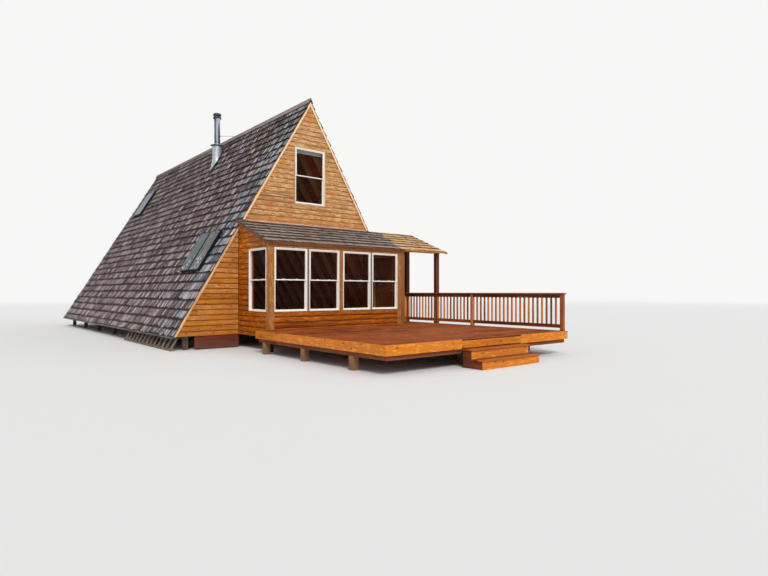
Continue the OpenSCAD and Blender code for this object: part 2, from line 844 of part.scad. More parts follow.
// Rim and joists, on a frame of drop beams with one more along the middle
module deck_frame() color("sienna") {
    joists = 10;
    x0 = deck_x0 + fascia_t;
    x1 = deck_x1 - fascia_t;
    y0 = -deck_y + fascia_t;
    difference() {
        deck_slab(0, joist_z, deck_z - deck_t);
        deck_slab(joist_w, joist_z - eps, deck_z - deck_t + eps);
    }
    for (i = [1 : joists - 1]) {
        x = x0 + i * (x1 - x0) / joists;
        back = x > landing_x ? deck_back : -sun_y;
        block([x - joist_w / 2, y0, joist_z], [x + joist_w / 2, back, deck_z - deck_t]);
    }
    beam_x0 = deck_x0 + deck_beam_inset;
    beam_x1 = deck_x1 - deck_beam_inset;
    beam_y0 = -deck_y + deck_beam_inset;
    beam_y1 = -sun_y - deck_beam_inset;
    difference() {
        block([beam_x0, beam_y0, deck_beam_z], [beam_x1, beam_y1, joist_z]);
        block([beam_x0 + deck_beam_w, beam_y0 + deck_beam_w, 0],
              [beam_x1 - deck_beam_w, beam_y1 - deck_beam_w, deck_z]);
    }
    middle = (beam_x0 + beam_x1) / 2;
    block([middle - deck_beam_w / 2, beam_y0, deck_beam_z],
          [middle + deck_beam_w / 2, beam_y1, joist_z]);
    block([beam_x1 - deck_beam_w, beam_y1 - eps, deck_beam_z], [beam_x1, deck_back, joist_z]);
}

// Three rows of posts under the deck's beams, and one under the landing
module deck_posts() color("saddlebrown") {
    half = deck_post_w / 2;
    x_left = deck_x0 + deck_beam_inset + half;
    x_right = deck_x1 - deck_beam_inset - half;
    spots = concat(
        [for (x = [x_left, (x_left + x_right) / 2, x_right], y = deck_post_y) [x, y]],
        [[x_right, landing_post_y]]
    );
    for (p = spots) block([p[0] - half, p[1] - half, 0], [p[0] + half, p[1] + half, deck_beam_z]);
}

// Boards round the deck's edge, with a narrower one over the steps
module deck_fascia() color("orange") {
    top = deck_z;
    bottom = deck_z - fascia_h;
    strip_z = 2 * riser_h + 12;
    front = -deck_y;
    right_x0 = step_x1 + strip_end;
    block([deck_x0, front + fascia_t + seam, bottom], [deck_x0 + fascia_t, -sun_y, top]);
    block([deck_x0, front, bottom], [step_x0, front + fascia_t, top]);
    block([step_x0 + seam, front, strip_z],
          [right_x0 - seam, front + fascia_t, deck_z - deck_t]);
    block([right_x0, front, bottom], [deck_x1, front + fascia_t, top]);
    block([deck_x1 - fascia_t, front + fascia_t + seam, bottom], [deck_x1, deck_back, top]);
}

module step_treads() color("indianred")
    for (i = [1, 2]) {
        front = -deck_y - i * step_run;
        block([step_x0, front, (3 - i) * riser_h - tread_t],
              [step_x1, front + step_run + (i == 2 ? nosing : 0), (3 - i) * riser_h]);
    }

module step_risers() color("orange")
    for (i = [1, 2]) {
        front = -deck_y - i * step_run + nosing;
        block([step_x0 + riser_inset, front, i == 2 ? 0 : riser_h - tread_t],
              [step_x1 - riser_inset, front + riser_t, (3 - i) * riser_h - tread_t]);
    }

// The side of the steps in Y and Z, behind the risers and under the treads
module stringer_outline() {
    back = -deck_y;
    step1 = back - step_run + nosing + riser_t;
    step2 = step1 - step_run;
    polygon([
        [back, 0], [back, 2 * riser_h - tread_t], [step1, 2 * riser_h - tread_t],
        [step1, riser_h - tread_t], [step2, riser_h - tread_t], [step2, 0]
    ]);
}

module step_stringers() color("sienna") {
    middle = (step_x0 + step_x1) / 2;
    for (x = [step_x0 + riser_inset, middle - joist_w / 2, step_x1 - riser_inset - joist_w])
        across(x, x + joist_w) stringer_outline();
}

module rail_posts() color("chocolate")
    for (y = rail_post_y)
        block([rail_x - rail_post_w / 2, y - rail_post_w / 2, deck_z],
              [rail_x + rail_post_w / 2, y + rail_post_w / 2, cap_z]);

// A railing bay between y0 and y1: two rails with balusters between them
module rail_bay(y0, y1) {
    top0 = cap_z - rail_depth;
    bottom1 = bottom_rail_z + rail_depth;
    block([rail_x - rail_t / 2, y0, bottom_rail_z], [rail_x + rail_t / 2, y1, bottom1]);
    block([rail_x - rail_t / 2, y0, top0], [rail_x + rail_t / 2, y1, cap_z]);
    gaps = round((y1 - y0) / baluster_pitch);
    pitch = (y1 - y0) / gaps;
    for (i = [1 : gaps - 1])
        block([rail_x - rail_t / 2, y0 + i * pitch - rail_t / 2, bottom1 - eps],
              [rail_x + rail_t / 2, y0 + i * pitch + rail_t / 2, top0 + eps]);
}

module rail_panels() color("chocolate") {
    ends = concat(rail_post_y, [deck_back + rail_post_w / 2]);
    for (i = [0 : len(rail_post_y) - 1])
        rail_bay(ends[i] + rail_post_w / 2, ends[i + 1] - rail_post_w / 2);
}

module rail_cap() color("chocolate")
    block([rail_x - cap_w / 2, rail_post_y[0] - cap_w / 2, cap_z],
          [rail_x + cap_w / 2, deck_back, cap_z + cap_t]);

// The pipe, from just below the rafters to its cap
module stovepipe() color("silver") {
    wall = 6;
    below_rafters = 60;
    bottom = plane_z(-pipe_x + pipe_r, under_rafters) - below_rafters;
    translate([pipe_x, pipe_y, bottom]) difference() {
        cylinder(h = pipe_top_z - bottom, r = pipe_r);
        translate([0, 0, -eps]) cylinder(h = pipe_top_z - bottom + 2 * eps, r = pipe_r - wall);
    }
}

// A clamp round the pipe with a rod down to the ridge
module pipe_brace() color("silver") {
    band_h = 30;
    band_t = 4;
    rod_r = 8;
    ridge_y = 5400;
    run = [-pipe_x, ridge_y - pipe_y];
    ridge_top = plane_z(0, -ridge_board_t);
    translate([pipe_x, pipe_y, ridge_top]) {
        rotate_extrude() translate([pipe_r, 0]) square([band_t, band_h]);
        rotate([0, 0, atan2(run[1], run[0])]) translate([pipe_r + 1, 0, rod_r]) rotate([0, 90, 0])
            cylinder(h = norm(run) - pipe_r, r = rod_r);
    }
}

// A ring on the top of the pipe and, on four straps over a gap, a domed rain cap
module pipe_cap() color("silver") translate([pipe_x, pipe_y, pipe_top_z]) {
    disc_r = 152;
    ring_h = 45;
    ring_in = pipe_r - 20;
    gap = 65;
    strap_w = 20;
    strap_t = 6;
    lap = 5;
    rim_h = 50;
    dome_h = 95;
    rotate_extrude() polygon([[ring_in, 0], [disc_r, 0], [disc_r, ring_h], [ring_in, ring_h]]);
    for (a = [45 : 90 : 315]) rotate([0, 0, a])
        translate([pipe_r - lap, -strap_w / 2, ring_h - lap]) cube([strap_t, strap_w, gap + 2 * lap]);
    translate([0, 0, ring_h + gap]) rotate_extrude()
        polygon([[0, 0], [disc_r, 0], [disc_r, rim_h], [disc_r - 30, rim_h + 25], [0, dome_h]]);
}

// The cone flashing that rises from the shakes, and the storm collar over it
module pipe_flashing() color("lightgray") {
    flare = [for (a = [0 : 3 : 27]) [
        flash_r + flash_curve * (1 - cos(a)), flash_flare_z - flash_curve * sin(a)
    ]];
    difference() {
        translate([pipe_x, pipe_y, 0]) rotate_extrude() polygon(concat(
            [[pipe_r, flash_top_z], [flash_r, flash_top_z]], flare,
            [for (i = [len(flare) - 1 : -1 : 0]) flare[i] - [sheet_t, 0]],
            [[flash_r - sheet_t, flash_top_z - sheet_t], [pipe_r, flash_top_z - sheet_t]]
        ));
        carried(0, roof_len)
            polygon([[-half_w, eave_h], [half_w, eave_h], [0, ridge_z + ridge_board_t * 3]]);
    }
    translate([pipe_x, pipe_y, collar_z]) rotate_extrude() polygon([
        [pipe_r, collar_h], [pipe_r, collar_h + collar_t], [collar_r, collar_t], [collar_r, 0]
    ]);
}

// A rectangular ring on the left slope for skylight k, from n0 to n1
module skylight_ring(k, t, n0, n1) {
    left_slope() translate([k[0], k[3] - k[2] / 2, n0]) difference() {
        cube([k[1], k[2], n1 - n0]);
        translate([t, t, -eps]) cube([k[1] - 2 * t, k[2] - 2 * t, n1 - n0 + 2 * eps]);
    }
}

module skylight_frames() color("darkslategray")
    for (k = skylights) skylight_ring(k, skylight_wall, -under_shakes, skylight_proud);

module skylight_glass() color("steelblue") {
    below_rim = 16;
    sheet = 8;
    for (k = skylights) left_slope()
        translate([k[0], k[3] - k[2] / 2, skylight_proud - below_rim])
            translate([skylight_wall, skylight_wall, 0])
                cube([k[1] - 2 * skylight_wall, k[2] - 2 * skylight_wall, sheet]);
}

// A wide board that closes the gap under the front wall, left of the sunroom
module skirt_board() color("brown") {
    board_t = 40;
    set_back = 20;
    above_ground = 20;
    left = -side_beam_x + 190;
    block([left, front_y0 + set_back, above_ground],
          [-sun_half_w, front_y0 + set_back + board_t, eave_h]);
}

// Spaced boards along the crawl space under the left eave: they stand on a
// bottom rail and lean in to the sill plate, which they are nailed to
module slat_panel() color("sienna") {
    slats = 13;
    slat_w = 120;
    slat_t = 20;
    rail_w = 60;
    rail_h = 50;
    y0 = 80;
    y1 = 4360;
    foot_x = -half_w + 40;
    lean = 180;
    block([foot_x - rail_w / 2, y0, 0], [foot_x + rail_w / 2, y1, rail_h]);
    for (i = [0 : slats - 1]) {
        y = y0 + i * (y1 - y0 - slat_w) / (slats - 1);
        carried(y, y + slat_w) polygon([
            [foot_x - slat_t / 2, rail_h - eps], [foot_x + slat_t / 2, rail_h - eps],
            [foot_x + lean + slat_t / 2, eave_h], [foot_x + lean - slat_t / 2, eave_h]
        ]);
    }
}

foundation_posts();
floor_beams();
floor();
loft_floor();
left_rafters();
right_rafters();
sill_plates();
ridge_beam();
left_roof();
right_roof();
left_shakes();
right_shakes();
ridge_cap();
rake_boards();
eave_boards();
front_wall();
front_gable();
rear_wall();
rear_gable();
gable_windows();
gable_glass();
window_casings();
sunroom_front_wall();
sunroom_left_wall();
sunroom_right_wall();
sunroom_windows();
sunroom_glass();
sunroom_trim();
door_frame();
entry_door();
lean_to_roof();
lean_to_fascia();
sunroom_shingles();
apron_flashing();
porch_shingles();
porch_fascia();
porch_rafters();
porch_beams();
porch_posts();
deck_frame();
deck_posts();
deck_boards();
deck_fascia();
step_treads();
step_risers();
step_stringers();
rail_posts();
rail_panels();
rail_cap();
stovepipe();
pipe_cap();
pipe_brace();
pipe_flashing();
skylight_frames();
skylight_glass();
skirt_board();
slat_panel();
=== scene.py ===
import math
from itertools import pairwise, product

import bmesh
import bpy
import numpy as np
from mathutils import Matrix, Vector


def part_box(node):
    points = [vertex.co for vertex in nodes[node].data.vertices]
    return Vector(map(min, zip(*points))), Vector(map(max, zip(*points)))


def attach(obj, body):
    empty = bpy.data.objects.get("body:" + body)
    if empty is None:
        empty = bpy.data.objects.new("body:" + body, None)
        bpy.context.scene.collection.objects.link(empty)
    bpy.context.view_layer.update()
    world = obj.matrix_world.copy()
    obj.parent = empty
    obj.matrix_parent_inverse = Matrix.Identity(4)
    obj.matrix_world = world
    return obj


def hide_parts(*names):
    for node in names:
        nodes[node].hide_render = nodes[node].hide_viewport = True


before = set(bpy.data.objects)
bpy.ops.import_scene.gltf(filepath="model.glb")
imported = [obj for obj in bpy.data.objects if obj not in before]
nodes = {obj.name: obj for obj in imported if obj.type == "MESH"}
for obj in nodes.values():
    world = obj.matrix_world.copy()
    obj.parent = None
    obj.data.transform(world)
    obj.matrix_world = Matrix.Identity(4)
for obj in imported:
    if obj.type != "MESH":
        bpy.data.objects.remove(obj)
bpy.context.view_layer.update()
bpy.context.scene.view_settings.view_transform = "Standard"

# The view, the light and the floor
# The camera stands in front of the left corner at eye height and looks nearly
# level. Two broad soft lamps light the part, over a plain pale floor.
camera_data = bpy.data.cameras.new("camera")
camera_data.lens = 25.69
camera_data.clip_end = 2000
camera = bpy.data.objects.new("camera", camera_data)
camera.location = (-8.978, -14.279, 1.528)
camera.rotation_euler = (math.radians(90.43), 0, math.radians(-39.84))
bpy.context.collection.objects.link(camera)
bpy.context.scene.camera = camera


def sun(name, strength, softness, tilt, turn, colour):
    """A far lamp: softness is how wide it looks, tilt its angle from overhead, in degrees"""
    data = bpy.data.lights.new(name, "SUN")
    data.energy = strength
    data.angle = math.radians(softness)
    data.color = colour
    lamp = bpy.data.objects.new(name, data)
    lamp.rotation_euler = (math.radians(tilt), 0, math.radians(turn))
    bpy.context.collection.objects.link(lamp)


sun("key", 2.0, 20, 50, -27, (1.0, 0.97, 0.93))
sun("fill", 0.35, 60, 62, 48, (0.93, 0.96, 1.0))


class Mark:
    """A socket of a material; arithmetic on it adds Math nodes"""

    def __init__(self, tree, socket=None):
        self.tree = tree
        self.socket = socket

    def node(self, kind, settings, sockets, output=0):
        """Any node: its settings first, then the values or marks of its sockets"""
        made = self.tree.nodes.new(kind)
        for name, value in settings.items():
            if name == "stops":
                elements = made.color_ramp.elements
                while len(elements) < len(value):
                    elements.new(1)
                for element, (spot, colour) in zip(elements, value):
                    element.position = spot
                    element.color = (*colour, 1)
            else:
                setattr(made, name, value)
        for name, value in sockets.items():
            if isinstance(value, Mark):
                self.tree.links.new(value.socket, made.inputs[name])
            else:
                made.inputs[name].default_value = value
        return Mark(self.tree, made.outputs[output])

    def maths(self, operation, *others):
        """A Math node on this mark and any others"""
        return self.node("ShaderNodeMath", {"operation": operation}, dict(enumerate((self, *others))))

    def __add__(self, other):
        return self.maths("ADD", other)

    __radd__ = __add__

    def __mul__(self, other):
        return self.maths("MULTIPLY", other)

    __rmul__ = __mul__

    def __sub__(self, other):
        return self.maths("SUBTRACT", other)

    def __rsub__(self, other):
        return self * -1 + other

    def scaled(self, x, y, z):
        """A vector stretched by a different amount along each axis"""
        return self.node("ShaderNodeVectorMath", {"operation": "MULTIPLY"}, {0: self, 1: (x, y, z)})

    def noise(self, scale, detail, rough):
        return self.node("ShaderNodeTexNoise", {}, {
            "Vector": self, "Scale": scale, "Detail": detail, "Roughness": rough})

    def step(self, low, high):
        """0 below low, 1 above high, and a smooth rise between them"""
        return self.node("ShaderNodeMapRange", {"interpolation_type": "SMOOTHSTEP"}, {
            "Value": self, "From Min": low, "From Max": high})

    def ramp(self, *stops):
        return self.node("ShaderNodeValToRGB", {"stops": stops}, {"Fac": self})

    def mixed(self, first, second):
        """The first colour where this mark is 0 and the second where it is 1"""
        first = (*first, 1) if isinstance(first, tuple) else first
        second = (*second, 1) if isinstance(second, tuple) else second
        return self.node("ShaderNodeMix", {"data_type": "RGBA"}, {0: self, 6: first, 7: second}, 2)

    def part(self, index):
        """One number of a vector"""
        return self.node("ShaderNodeSeparateXYZ", {}, {0: self}, index)


def start(name):
    """A new material, with a mark to draw its nodes from"""
    material = bpy.data.materials.new(name)
    material.use_nodes = True
    return material, Mark(material.node_tree)


def place(mark):
    """The point on the object, in metres"""
    return mark.node("ShaderNodeTexCoord", {}, {}, "Object")


def coat(material, colour, roughness, relief=None, depth=0.001, **constants):
    """Gives a material's shader its colour, roughness, relief and constants"""
    shader = material.node_tree.nodes["Principled BSDF"]
    for name, value in {"Base Color": colour, "Roughness": roughness, **constants}.items():
        socket = shader.inputs[name.replace("_", " ")]
        if isinstance(value, Mark):
            material.node_tree.links.new(value.socket, socket)
        else:
            socket.default_value = (*value, 1) if isinstance(value, tuple) else value
    if relief:
        bump = relief.node("ShaderNodeBump", {}, {"Distance": depth, "Height": relief})
        material.node_tree.links.new(bump.socket, shader.inputs["Normal"])


backdrop_colour = (0.93, 0.93, 0.925)
world = bpy.data.worlds.new("studio")
bpy.context.scene.world = world
world.use_nodes = True
world_mark = Mark(world.node_tree)
sky = world_mark.node("ShaderNodeBackground", {}, {
    "Color": (0.95, 0.97, 1.0, 1), "Strength": 0.55})
seen_sky = world_mark.node("ShaderNodeBackground", {}, {"Color": (*backdrop_colour, 1)})
seen = world_mark.node("ShaderNodeLightPath", {}, {}, "Is Camera Ray")
for ray in ("Is Glossy Ray", "Is Transmission Ray"):
    seen = seen.maths("MAXIMUM", world_mark.node("ShaderNodeLightPath", {}, {}, ray))
sky_mix = world_mark.node("ShaderNodeMixShader", {}, {0: seen, 1: sky, 2: seen_sky})
world.node_tree.links.new(sky_mix.socket, world.node_tree.nodes["World Output"].inputs[0])

floor_radius = 900
floor_mesh = bpy.data.meshes.new("studio_floor")
rim = [(floor_radius * math.cos(a), floor_radius * math.sin(a), 0)
       for a in np.linspace(0, 2 * math.pi, 96, endpoint=False)]
floor_mesh.from_pydata(rim, [], [range(len(rim))])
studio_floor = bpy.data.objects.new("studio_floor", floor_mesh)
bpy.context.collection.objects.link(studio_floor)
floor_finish, mark = start("studio_floor")
distance = mark.node("ShaderNodeVectorMath", {"operation": "LENGTH"}, {0: place(mark)}, 1)
coat(floor_finish, (0.80, 0.80, 0.795), 0.9)
far_floor = mark.node("ShaderNodeEmission", {}, {"Color": (*backdrop_colour, 1)})
near_floor = Mark(mark.tree, mark.tree.nodes["Principled BSDF"].outputs[0])
floor_mix = mark.node("ShaderNodeMixShader", {}, {
    0: distance.step(35, 110), 1: near_floor, 2: far_floor})
mark.tree.links.new(floor_mix.socket, mark.tree.nodes["Material Output"].inputs[0])
floor_mesh.materials.append(floor_finish)

# The posts and beams under the building
# Old sawn posts stand on the ground in three rows, with a beam on each row.
# They have never been painted, and are grey-brown and checked.
half_width = 4.17
roof_rise = 7.06
slope_angle = math.atan2(roof_rise, half_width)
slope_cos = math.cos(slope_angle)
slope_sin = math.sin(slope_angle)


def srgb(red, green, blue):
    """A colour as it shows on a screen, each number from 0 to 255"""
    return tuple(((c / 255 + 0.055) / 1.055) ** 2.4 for c in (red, green, blue))


def along(mark, direction):
    """The point in a board's own frame, with Y along its grain.
    The direction is an axis, the roof's slope, or the board's own stored frame."""
    if direction == "own":
        return mark.node("ShaderNodeAttribute", {"attribute_name": "grain"}, {}, "Vector")
    x, y, z = (place(mark).part(i) for i in range(3))
    if direction == "slope":
        out = x.maths("ABSOLUTE")
        parts = (out * slope_sin + z * slope_cos, z * slope_sin - out * slope_cos, y)
    else:
        parts = {"X": (y, x, z), "Y": (x, y, z), "Z": (x, z, y)}[direction]
    return mark.node("ShaderNodeCombineXYZ", {}, dict(enumerate(parts)))


def stored(mark, name):
    """A number that the mesh keeps for each board or point"""
    return mark.node("ShaderNodeAttribute", {"attribute_name": name}, {}, "Fac")


def wood(name, tones, direction="own", knots=0.7, gloss=0.62, spread=0.42, dirt=0.0, fade=None,
         flush=None, felt=False, patchy=0.25):
    """Softwood: streaks and rings along the grain, knots, and a tone for each board.
    Tones are its shadow, body and pale colours. Fade is a second body colour and the
    heights between which it takes over; flush is the colour of blotches in the stain;
    felt covers the top of roof boards; patchy is how far wear changes whole stretches."""
    shadow, body, pale = (srgb(*tone) for tone in tones)
    material, mark = start(name)
    point = along(mark, direction)
    fine = point.scaled(130, 5, 130).noise(1, 4, 0.6)
    broad = point.scaled(22, 1.3, 22).noise(1, 3, 0.5)
    rings = (point.part(0) * 210 + broad * 26).maths("SINE")
    tone = stored(mark, "tone") if direction == "own" else point.scaled(5, 0.15, 5).noise(1, 1, 0.5)
    level = broad * 0.44 + fine * 0.26 + rings * 0.035 + tone * spread + (0.16 - spread / 2)
    level = level + place(mark).noise(1.3, 4, 0.6) * patchy - patchy / 2
    line_strength = 1.7
    if fade:
        high_up = place(mark).part(2).step(fade[1], fade[2])
        line_strength = line_strength - high_up * 0.7
        colour = level.step(0.24, 0.54).mixed(shadow, high_up.mixed(body, srgb(*fade[0])))
        colour = (level.step(0.50, 0.78) * 0.8).mixed(colour, pale)
    else:
        colour = level.ramp((0.22, shadow), (0.50, body), (0.84, pale))
    if flush:
        patch = (point.scaled(26, 5, 26).noise(1, 3, 0.6) + tone * 0.16).step(0.46, 0.64)
        colour = (patch * 0.80).mixed(colour, srgb(*flush))
    cell = point.scaled(8, 4.4, 8)
    knot = cell.node("ShaderNodeTexVoronoi", {}, {"Vector": cell, "Scale": 1.0})
    heart = 1 - knot.step(0.06, 0.15)
    colour = (heart * knots).mixed(colour, tuple(c * 0.22 for c in shadow))
    halo = 1 - knot.step(0.12, 0.30)
    colour = (halo * (knots * 0.35)).mixed(colour, shadow)
    # Painted shade: the stored shade darkens the grooves between siding courses and the upright sides of
    # boards; line_strength weakens it high on a faded wall
    groove = (stored(mark, "groove") + broad * 0.5).step(0.42, 1.15)
    colour = (groove * broad * line_strength).mixed(colour, tuple(c * 0.46 for c in shadow))
    if dirt:
        where = place(mark)
        low_down = 1 - where.part(2).step(0.02, 0.45)
        soiled = (low_down * 0.7 + where.noise(2.3, 4, 0.6) * 0.5).step(0.35, 0.85)
        colour = (soiled * dirt).mixed(colour, (0.075, 0.060, 0.048))
    if felt:
        normal = mark.node("ShaderNodeNewGeometry", {}, {}, "Normal")
        colour = normal.part(2).step(0.1, 0.3).mixed(colour, srgb(22, 21, 22))
    coat(material, colour, fine * 0.22 + (gloss - 0.11), fine * 0.55 + broad * 0.45, 0.0022,
         Specular_IOR_Level=0.15)
    return material


def finish(material, *names):
    """Gives CAD nodes a material"""
    for name in names:
        slots = nodes[name].data.materials
        slots.clear()
        slots.append(material)


old_timber = ((58, 47, 40), (104, 88, 76), (146, 130, 114))
finish(wood("old_posts", old_timber, "Z", 0.5, 0.85, dirt=0.6), "foundation_posts")
finish(wood("old_beams", old_timber, "Y", 0.5, 0.85, dirt=0.3), "floor_beams", "sill_plates")

# The slats and the skirt board along the crawl space
# Weathered slats lean in a row on a rail below the left eave. A wide stained
# board closes the gap under the front wall.
finish(wood("old_slats", ((66, 54, 46), (136, 118, 102), (186, 172, 156)), "Z", 0.4, 0.85, dirt=0.3),
       "slat_panel")
finish(wood("skirt_stain", ((60, 24, 16), (112, 52, 36), (150, 84, 60)), "X", 0.5, 0.7, dirt=0.4),
       "skirt_board")

# The floors and the frame of the roof
# Sawn fir: varnished boards on the floors, bare rafters, and roof boards that
# show inside as a dark red ceiling.
finish(wood("varnished_floor", ((92, 58, 34), (150, 104, 64), (184, 138, 92)), "Y", 0.5, 0.4),
       "floor", "loft_floor")
frame_fir = ((136, 88, 46), (222, 168, 106), (240, 200, 146))
finish(wood("rafter_fir", frame_fir, "slope", 0.5, 0.6), "left_rafters", "right_rafters")
finish(wood("ridge_fir", frame_fir, "Y", 0.5, 0.6), "ridge_beam")
finish(wood("ceiling_boards", ((110, 28, 14), (196, 70, 40), (220, 108, 70)), "Y", 0.4, 0.55,
            felt=True), "left_roof", "right_roof")

# The walls and their siding
# Each wall is a boarded frame under rounded log-lap siding, nailed in level
# courses of 142 mm. The oil on it has bleached to tan high on the gable.
finish(wood("inner_walls", ((84, 22, 12), (138, 46, 30), (168, 76, 52)), "Z", 0.4, 0.55),
       "front_wall", "front_gable", "rear_wall", "rear_gable", "sunroom_front_wall",
       "sunroom_left_wall", "sunroom_right_wall")


class Pile:
    """Boards gathered into one mesh, each with its own grain and tone"""

    def __init__(self, seed=0):
        self.rng = np.random.default_rng(seed)
        self.points = []
        self.faces = []
        self.grain = []
        self.tone = []
        self.groove = []
        self.count = 0

    def add(self, points, faces, grain=None, tone=0.5, groove=0.0, ends=0.0):
        """More boards: grain and painted shade for each point, tone and ends for each face.
        A face's corners keep the painted shade of their points plus the face's own ends, painted shade
        over the whole face."""
        points = np.reshape(points, (-1, 3)).astype(float)
        self.points.append(points)
        self.faces += [[self.count + i for i in f] for f in faces]
        self.grain.append(points if grain is None else np.reshape(grain, (-1, 3)))
        self.tone.append(np.broadcast_to(tone, len(faces)))
        corners = np.concatenate(faces)
        end = np.repeat(np.broadcast_to(ends, len(faces)), [len(f) for f in faces])
        self.groove.append(np.broadcast_to(groove, len(points))[corners] + end)
        self.count += len(points)

    def prism(self, near, far, grain=None, tone=0.5, groove=0.0):
        """A bar between two like loops of points"""
        n = len(near)
        faces = [(i, (i + 1) % n, n + (i + 1) % n, n + i) for i in range(n)]
        faces += [tuple(range(n))[::-1], tuple(range(n, 2 * n))]
        self.add(np.concatenate([near, far]), faces, grain, tone, groove)

    def ring(self, loops):
        """Faces from each loop of points to the next, and from the last to the first"""
        count = len(loops)
        n = len(loops[0])
        self.add(loops, [(a * n + i, a * n + (i + 1) % n, b * n + (i + 1) % n, b * n + i)
                         for a, b in pairwise((*range(count), 0)) for i in range(n)])

    def board(self, low, high, tone=None, sides=0.0):
        """A squared timber between two corners, its grain along its longest side.
        Sides is how much painted shade darkens its four upright faces."""
        corners = np.array(list(product(*zip(low, high))), float)
        faces = ((0, 1, 3, 2), (4, 6, 7, 5), (0, 4, 5, 1), (2, 3, 7, 6), (0, 2, 6, 4), (1, 5, 7, 3))
        length = int(np.argmax(np.ptp(corners, axis=0)))
        across, up = [i for i in range(3) if i != length]
        grain = corners[:, [across, length, up]] + self.rng.uniform(0, 40, 3)
        self.add(corners, faces, grain, self.rng.uniform(0, 1) if tone is None else tone,
                 ends=[sides] * 4 + [0, 0])

    def made(self, name, material, slot, replaced=(), bevel=0.0):
        """The finished object, riding on the building"""
        mesh = bpy.data.meshes.new(name)
        mesh.from_pydata(np.concatenate(self.points).tolist(), [], self.faces)
        for key, kind, domain, field, values in (
                ("grain", "FLOAT_VECTOR", "POINT", "vector", self.grain),
                ("groove", "FLOAT", "CORNER", "value", self.groove),
                ("tone", "FLOAT", "FACE", "value", self.tone)):
            layer = mesh.attributes.new(key, kind, domain)
            layer.data.foreach_set(field, np.concatenate(values).astype(np.float32).ravel())
        solid = bmesh.new()
        solid.from_mesh(mesh)
        bmesh.ops.recalc_face_normals(solid, faces=solid.faces)
        solid.to_mesh(mesh)
        solid.free()
        mesh.materials.append(material)
        mesh.shade_smooth()
        mesh.set_sharp_from_angle(angle=math.radians(32))
        piece = bpy.data.objects.new(name, mesh)
        bpy.context.collection.objects.link(piece)
        if bevel:
            edge = piece.modifiers.new("eased_edges", "BEVEL")
            edge.width = bevel
            edge.segments = 2
            edge.limit_method = "ANGLE"
        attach(piece, "root")
        if replaced:
            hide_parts(*replaced)


wall_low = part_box("front_wall")[0]
wall_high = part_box("front_gable")[1]
rear_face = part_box("rear_wall")[1].y
sun_low, sun_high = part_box("sunroom_front_wall")
eave_level = wall_low.z
siding_course = 0.1417
# Height within a course, as a part of it, how far the face stands out, and
# how dark painted shade makes it there, darkest in the grooves between courses
siding_profile = np.array([
    (0.00, 0.0010, 1.00), (0.035, 0.0050, 0.95), (0.11, 0.0095, 0.42), (0.26, 0.0122, 0.12),
    (0.50, 0.0128, 0.0), (0.74, 0.0112, 0.10), (0.90, 0.0075, 0.34), (1.00, 0.0035, 1.00)])
siding_back = -0.004
first_joint = -6.0
last_joint = 16.0
joint_gap = 0.0008
shortest = 0.012


def siding(pile, to_world, first_line, top, left, right, holes):
    """Log-lap boards over a wall; left and right give its edges at some heights.
    A hole is its two sides, its bottom and its top."""
    rng = pile.rng
    for line in np.arange(first_line, top, siding_course):
        bottom = max(line, eave_level)
        end = min(line + siding_course, top)
        joints = [first_joint + rng.uniform(0, 3.6)]
        while joints[-1] < last_joint:
            joints.append(joints[-1] + rng.uniform(3.4, 5.6))
        tones = rng.uniform(0, 1, len(joints) + 1)
        shifts = rng.uniform(0, 40, (len(joints) + 1, 3))
        levels = sorted({bottom, end, *[e for h in holes for e in h[2:] if bottom < e < end]})
        for low, high in pairwise(levels):
            shape = siding_profile[:, 0] * siding_course + line
            inside = (shape > low + 0.001) & (shape < high - 0.001)
            rows = np.concatenate([[low], shape[inside], [high]])
            out = np.interp(rows, shape, siding_profile[:, 1])
            dark = np.interp(rows, shape, siding_profile[:, 2])
            open_here = [h for h in holes if h[2] < (low + high) / 2 < h[3]]
            stops = sorted([first_joint - 3, last_joint + 3, *joints,
                            *[e for h in open_here for e in h[:2]]])
            first = left(rows)
            last = right(rows)
            for a, b in pairwise(stops):
                middle = (max(a, first.min()) + min(b, last.max())) / 2
                start_u = np.clip(a + joint_gap, first, last)
                end_u = np.clip(b - joint_gap, first, last)
                if any(h[0] < middle < h[1] for h in open_here) or (end_u - start_u).max() < shortest:
                    continue
                end_u = np.maximum(end_u, start_u + 0.002)
                order = [*range(len(rows)), len(rows) - 1, 0]
                depth = np.concatenate([out, [siding_back] * 2])
                loops = [np.stack([u[order], rows[order], depth], axis=1) for u in (start_u, end_u)]
                board = int(np.searchsorted(joints, middle))
                grain = np.concatenate(loops)[:, [1, 0, 2]] + shifts[board]
                # Painted shade for each point, darkest in the grooves between courses
                groove = np.concatenate([dark, [1.0, 1.0]] * 2)
                pile.prism(to_world(*loops[0].T), to_world(*loops[1].T), grain, tones[board], groove)


def under_roof(height, depth):
    """Half the width at a height of a plane some way under the outside of the roof"""
    return half_width * (1 - (height - eave_level) / roof_rise) - depth / slope_sin


def gable_edge(height):
    """Half the width of a gable wall at a height, up to the roof boards"""
    return np.maximum(under_roof(height, boards_depth), 0.004)


